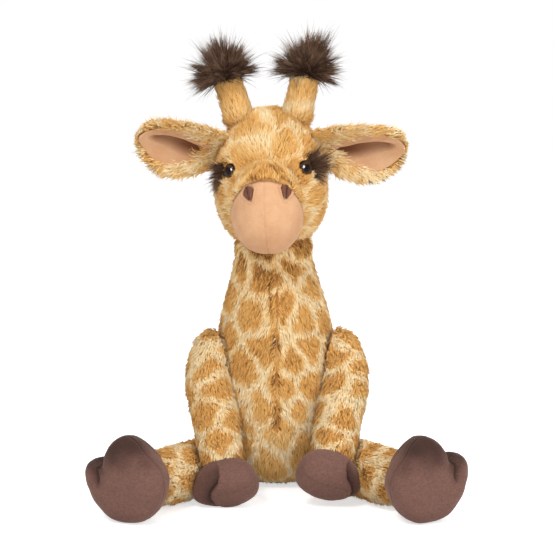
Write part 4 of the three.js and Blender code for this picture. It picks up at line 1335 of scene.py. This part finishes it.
def ear_frame(side):
    """A frame at an ear's root: x along it, y across it, and z out of its hollow."""
    along = unit(np.array([side * EAR_LENGTH, -EAR_FORWARD[side], EAR_RISE[side]], float))
    wide = unit(np.cross([0, -math.cos(EAR_TILT), -math.sin(EAR_TILT)], along))
    axes = np.stack([along, wide, np.cross(along, wide)], axis=1)
    return within(HEAD, (axes, mirrored(EAR_ROOT, side)))


def leaf(start, length, half_width, shares, thickness, lift, sides, rings, side):
    """A cupped leaf along x, whose upper and lower halves may differ in width."""
    rows = []
    angle = 2 * np.pi * np.arange(sides) / sides
    for share in crowded(rings):
        above, below = (side * half_width * smooth(shares, share, k) for k in (1, 2))
        across = np.cos(angle) * np.where(np.cos(angle) > 0, above, below)
        bend = EAR_CUP * (across / EAR_HALF_WIDTH) ** 2
        deep = thickness / 2 * np.sin(angle) + lift + bend
        rows.append(np.stack([np.full(sides, start + length * share), across, deep], axis=1))
    return lofted(rows)


def lining_margin(points, side):
    """How far inside the lining's outline points of an ear lie, across it."""
    share = np.clip((points[:, 0] - LINING_START) / LINING_LENGTH, 0, 1)
    above, below = (smooth(LINING_SHARES, share, k) for k in (1, 2))
    half = LINING_HALF_WIDTH * np.where(side * points[:, 1] > 0, above, below)
    return np.where(points[:, 0] > LINING_START - 3, half - np.abs(points[:, 1]), -9)


def lining_fold(points, side):
    """How deep in an ear's hollow points of its lining lie, and how near the lip of the flap that
    folds over it."""
    share = np.clip((points[:, 0] - LINING_START + 3) / (LINING_LENGTH + 2), 0, 1)
    under = LINING_HALF_WIDTH * smooth(FLAP_SHARES, share) - side * points[:, 1]
    reach = 2 + 13 * np.sin(np.pi * share**0.8)
    ends = step(0, 0.05, share) * (1 - step(0.76, 0.9, share))
    hollow = step(-0.25, 0.45, under) * (1 - step(0.42 * reach, reach, under)) * ends
    return hollow, hump(under + 1.5, 1.2) * ends


def build_ear(label, side):
    body = "ear_" + label
    at = ear_frame(side)
    along, wide, outward = at[0].T
    local = leaf(
        0, EAR_LENGTH - 1, EAR_HALF_WIDTH - 1.2, EAR_SHARES, EAR_THICKNESS - 3.5, 0, 96, 70, side
    )
    seat = step(0.5, 4, lining_margin(local.points, side)) * (local.normals[:, 2] > 0)
    skin = local.moved(-3.2 * seat[:, None] * UP).put(at)
    patches = Patches(skin, 16, 470 + side, (1, 1, 1), 0.62)
    add_skin(
        "ear_skin_" + label, skin, BACKING, body, "fur", "ear_" + label, 0.5,
        tone=0.6 * patches(skin.points),
    )

    def keep(points, normals):
        p = seen_from(points, at)
        covered = (normals @ outward > 0.2) & (lining_margin(p, side) > 1.2)
        return ~covered & (p[:, 0] > 1)

    def flow(points):
        return along + wide * seen_from(points, at)[:, 1:2] / EAR_HALF_WIDTH * 1.3

    def rim_of(points):
        p = seen_from(points, at)
        return step(-3.5, 1, -lining_margin(p, side)) * (p[:, 0] > LINING_START)

    def tone(points):
        pale = 0.45 * rim_of(points) * step(-0.5, 0.6, noise(points, 7, 480))
        return patches(points) * (1 - pale)

    def length_of(points):
        share = seen_from(points, at)[:, 0] / EAR_LENGTH
        return (1 + 0.35 * rim_of(points)) * (1 - 0.5 * step(0.86, 1, share))

    grow(
        "ear_fur_" + label, body, skin, flow, tone, 110 + side, length=6.8, lift=(34, 10),
        keep=keep, tangle=0.3, length_of=length_of, glow=(0, -0.6, 0.5),
    )
    lining = leaf(
        LINING_START - 3, LINING_LENGTH + 2, LINING_HALF_WIDTH - 0.3, LINING_SHARES, 2.2,
        EAR_THICKNESS / 2 - 0.6, 280, 100, side,
    )
    hollow, lip = lining_fold(lining.points, side)
    sunk = 3.4 * hollow + 0.4 * noise(lining.points, 9, 481) - 1.3 * lip
    # Painted shade in the hollow under the flap, stronger towards the ear's root.
    painted_shade = 0.7 + 0.32 * (1 - step(0.35, 0.75, lining.points[:, 0] / EAR_LENGTH))
    add_skin(
        "ear_cloth_" + label, lining.moved(-sunk[:, None] * UP).put(at), PEACH, body,
        "peach_cloth", "ear_lining_" + label, fold=0.08 + 0.9 * hollow * painted_shade,
    )


# Limbs


def path_flow(places):
    """The way along a path, for each point, from the nearest place on it."""
    at, way, _ = evenly(through(places), np.linspace(0, 1, 60))

    def flow(points):
        return way[np.argmin(np.linalg.norm(points[:, None] - at, axis=2), axis=1)]

    return flow


def fold_gap(flat, places, halves):
    """How far points of a hoof's face lie from a fold in it, in mm, how far along it, and on which
    side: 1 towards the tips or the small toe."""
    curve = through(np.array(places) * halves, FOLD_POINTS)
    gaps = np.linalg.norm(flat[:, None] - curve[None], axis=2)
    nearest = np.argmin(gaps, axis=1)
    run = np.gradient(curve, axis=0)[nearest]
    off = flat - curve[nearest]
    hand = np.sign(run[:, 0] * off[:, 1] - run[:, 1] * off[:, 0])
    return gaps[np.arange(len(flat)), nearest], nearest / (FOLD_POINTS - 1), hand


def hoof_form(half_width, half_height, thickness, cleft):
    """A hoof in its own frame: x towards the small toe, y towards the tips, z out of the sole."""
    sides = 180
    halves = np.array([half_width, half_height])
    ankle = outline = ellipse(np.zeros(3), *halves, sides)[:, :2]
    if cleft:
        outline = through(np.array(SOLE_SHARES) * halves, sides, closed=True)
    rings = []
    for share in np.sin(np.linspace(0, np.pi / 2, 70))[:-1]:
        flat = ankle + (outline - ankle) * min(share / CLEFT_SHARE, 1)
        height = np.full(sides, thickness * (share - 0.5))
        rings.append(np.column_stack([flat * smooth(HOOF_SHARES, share), height]))
    return lofted(rings)


def dented(form, depth, side):
    """A hoof with its folds and its seam pressed in, mirrored to its side of the toy."""
    dent = depth - 0.5 * noise(form.points, 14, 77) - 0.22 * noise(form.points, 5, 78)
    p = form.points - form.normals * dent[:, None]
    p[:, 0] *= side
    return Skin(p, form.faces)


def set_down(form, roll, place, outward, side):
    """The points of a hoof that is turned, looks outward and rests on the floor."""
    points = form.points @ turned("z", -side * roll[side]).T
    return rested(placed(points, frame_at(mirrored(place, side), outward)))


def foot_skin(side):
    """A foot's skin, and the painted shade on its cloth."""
    outward = np.array([side * math.sin(FOOT_TURN), -math.cos(FOOT_TURN), 0])
    form = hoof_form(*FOOT_HALVES, FOOT_THICKNESS, True)
    p = form.points
    gap, share, _ = fold_gap(p[:, :2], FOOT_FOLD, FOOT_HALVES)
    fade = step(-FOOT_THICKNESS / 4, FOOT_THICKNESS / 4, p[:, 2]) * (1 - step(0.55, 1, share))
    line, valley = hump(gap, 0.9) * fade, hump(gap, 4.5) * fade
    seam = hump(p[:, 2] - FOOT_THICKNESS * 0.16 - 0.6 * noise(p, 20, 79), 0.7)
    x, y = p[:, 0] / FOOT_HALVES[0], p[:, 1] / FOOT_HALVES[1] + 0.12 * noise(p, 8, 80)
    # Painted shade on the upper part of the toes, in the crease and its valley between the toes,
    # and along the seam's groove.
    tips = 0.85 * step(0.1, 0.85, y) + 0.55 * step(0.05, 0.5, y) * step(0.45, 0.7, x)
    painted_shade = 0.5 * line + 0.45 * valley + 0.25 * seam + np.minimum(tips, 0.85)
    crease = (1.2 * line + 2.2 * valley) * (0.15 + 0.85 * step(0, 0.35, share))
    form = dented(form, crease + 0.45 * seam * (1 - 0.8 * valley), side)
    points = set_down(form, FOOT_ROLL, FOOT_PLACE, outward, side)
    return Skin(points, form.faces), np.clip(painted_shade, 0, 0.92)


def hand_skin(side):
    """A hand's skin, and the painted shade on its cloth."""
    level = math.cos(HAND_DIP) * np.array([side * math.sin(HAND_TURN), -math.cos(HAND_TURN), 0])
    outward = level - math.sin(HAND_DIP) * UP
    half_width, half_height = HAND_HALVES
    form = hoof_form(half_width * 0.93, half_height * 1.07, HAND_THICKNESS, False)
    p = form.points
    front = step(-HAND_THICKNESS / 3, HAND_THICKNESS / 5, p[:, 2])
    fold = [(x, y + HAND_FOLD_SHIFT[side]) for x, y in HAND_FOLD]
    gap, share, hand = fold_gap(p[:, :2], fold, HAND_HALVES)
    below = step(-0.8, 0.8, hand * gap) * front
    line, beyond = hump(gap, 0.9) * front, below * np.exp(-gap / 7)
    seam = hump(p[:, 0] + 0.33 * half_width - 0.5 * noise(p, 20, 82), 0.45)
    seam = seam * front * (1 - below) * 0.6
    form = dented(form, 0.9 * line + 2.3 * beyond + 0.3 * seam, side)
    form.points[:, 0] *= 1 - 0.24 * step(0.15, 1.05, form.points[:, 1] / half_height)
    points = set_down(form, HAND_ROLL, HAND_PLACE, outward, side) + HAND_LIFT[side] * UP
    # Painted shade on the lobe beyond the fold, fading towards the side, and in the fold line and
    # the seam's groove.
    shade = beyond * (1 - 0.6 * step(-0.1, 0.6, p[:, 0] / half_width))
    return Skin(points, form.faces), np.clip(0.5 * line + shade + 0.35 * seam, 0, 0.85)


def add_limb(kind, label, form, places, hoof_name, hoof, torso_tree, patches_seed, fur_seed):
    """An arm or a leg with its fur, and then its hoof."""
    body = f"{kind}_{label}"
    skin = above_floor(kept_in(form.moved(-PILE), body, PILE))
    patches = Patches(skin, 17, patches_seed, (0.78, 0.78, 1.1))
    add_skin(
        f"{kind}_skin_{label}", skin, BACKING, body, "fur", body, 0.7, tone=patches(skin.points)
    )

    def length_of(points):
        gaps = np.array([torso_tree.find_nearest(Vector(p))[3] for p in points])
        return 1 + 0.3 * (1 - step(3, 9, gaps))

    # The hoof comes with its skin and the painted shade that its fold layer carries.
    hoof_skin, painted_shade = hoof
    grow(
        f"{kind}_fur_{label}", body, skin, path_flow(places), patches, fur_seed,
        keep=lambda p, n: (p[:, 2] > FUR_BOTTOM) & (n[:, 2] > -0.9),
        hidden_by=[torso_tree, hoof_skin.tree()], length_of=length_of,
    )
    add_skin(
        f"{hoof_name}_velour_{label}", above_floor(hoof_skin), VELOUR, body, "velour",
        f"{kind}_hoof_{label}", 0.75, fold=painted_shade,
    )


def build_limbs(torso_tree):
    for label, side in SIDES:
        arm = [mirrored(p, side) for p in ARM_PATH]
        form = limb(arm, ARM_RADIUS, ARM_SHARES, 72, 70, side)
        hand, foot = hand_skin(side), foot_skin(side)
        add_limb("arm", label, form, arm, "hand", hand, torso_tree, 500 + side, 130 + side)
        leg = [(side * x, y, LEG_RADIUS) for x, y in LEG_PATH]
        form = limb(leg, LEG_RADIUS, LEG_SHARES, 80, 70, side)
        form = Skin(rested(form.points), form.faces)
        add_limb("leg", label, form, leg, "foot", foot, torso_tree, 520 + side, 150 + side)


# Body, tail and the pieces inside


def build_torso():
    skin = above_floor(torso_skin().moved(-PILE))
    patches = Patches(skin, 18, 400)
    add_skin(
        "body_skin", skin, BACKING, "torso", "fur", "body_and_neck", 0.8,
        tone=patches(skin.points),
    )

    def tone(points):
        """Patches, a dark chest seam, painted shade up the throat and painted light low down."""
        x, y, z = points.T
        middle = 1.8 * noise(points, 30, 403) - NECK_LEAN * step(90, 170, z)
        near = hump(x - middle, 1.7) * (y < 0) * step(50, 60, z) * (1 - step(172, 186, z))
        tufts = step(-0.3, 0.35, noise(points, 2.3, 404))
        whole = patches(points)
        # Painted shade up the front of the throat under the head, and painted light low on the
        # body.
        whole = whole + 0.12 * step(150, 188, z) * (y < 0) - 0.15 * (1 - step(50, 115, z))
        return whole + near * ((0.89 - whole) * 0.95 + 0.16 * tufts)

    def keep(points, normals):
        return (points[:, 2] > FUR_BOTTOM) & (points[:, 2] < 199)

    grow("body_fur", "torso", skin, torso_flow, tone, 10, keep=keep)
    z = np.linspace(*NECK_MANE, 40)
    swell = taper(z)
    back = NECK_RADIUS + (BELLY_HALVES[1] - NECK_RADIUS) * swell
    build_mane("neck_mane", "torso", WORLD, -NECK_LEAN * (1 - swell), back, z)
    return skin.tree()


def build_tail():
    form = limb(TAIL_PATH, TAIL_RADIUS, EVEN, 36, 40, 1)
    skin = above_floor(kept_in(form.moved(-1.5), "tail", 1.5))
    patches = Patches(skin, 14, 540)
    add_skin("tail_skin", skin, BACKING, "tail", "fur", "tail", 0.7, tone=patches(skin.points))
    grow(
        "tail_fur", "tail", skin, path_flow(TAIL_PATH), patches, 170, length=5,
        keep=lambda p, n: p[:, 2] > 0.5,
    )
    rng = np.random.default_rng(171)
    count = 500
    root = np.array(TAIL_PATH[-1]) + rng.normal(size=(count, 3)) * np.array([1.8, 2.2, 1.5])
    aim = np.array([0, 1, -0.12]) + rng.normal(size=(count, 3)) * np.array([0.33, 0.2, 0.16])
    long = TAIL_TUFT_LENGTH * (1 + 0.15 * rng.normal(size=count)).clip(0.4, 1.2)
    end = root + unit(aim) * long[:, None]
    spines = no_lower(arched(root, (root + end) / 2, end), 1.0)
    tone = rng.random(count) * 0.6
    normals = np.tile(UP, (count, 1))
    long_strands("tail_tuft_fur", "tail", spines, normals, 0.45, tone, 172, "tail_tuft")


def dress_hidden_nodes():
    bag = plain_material("pellet_bag_cloth", (0.72, 0.69, 0.62), 0.9, 1.2)
    washer = plain_material("washer_plastic", (0.78, 0.77, 0.74), 0.45, 3)
    for name in ("pellet_bag", "eye_washer_left", "eye_washer_right"):
        material = bag if name == "pellet_bag" else washer
        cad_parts[name].material_slots[0].material = material


set_stage()
torso_tree = build_torso()
build_head()
build_limbs(torso_tree)
build_tail()
dress_hidden_nodes()
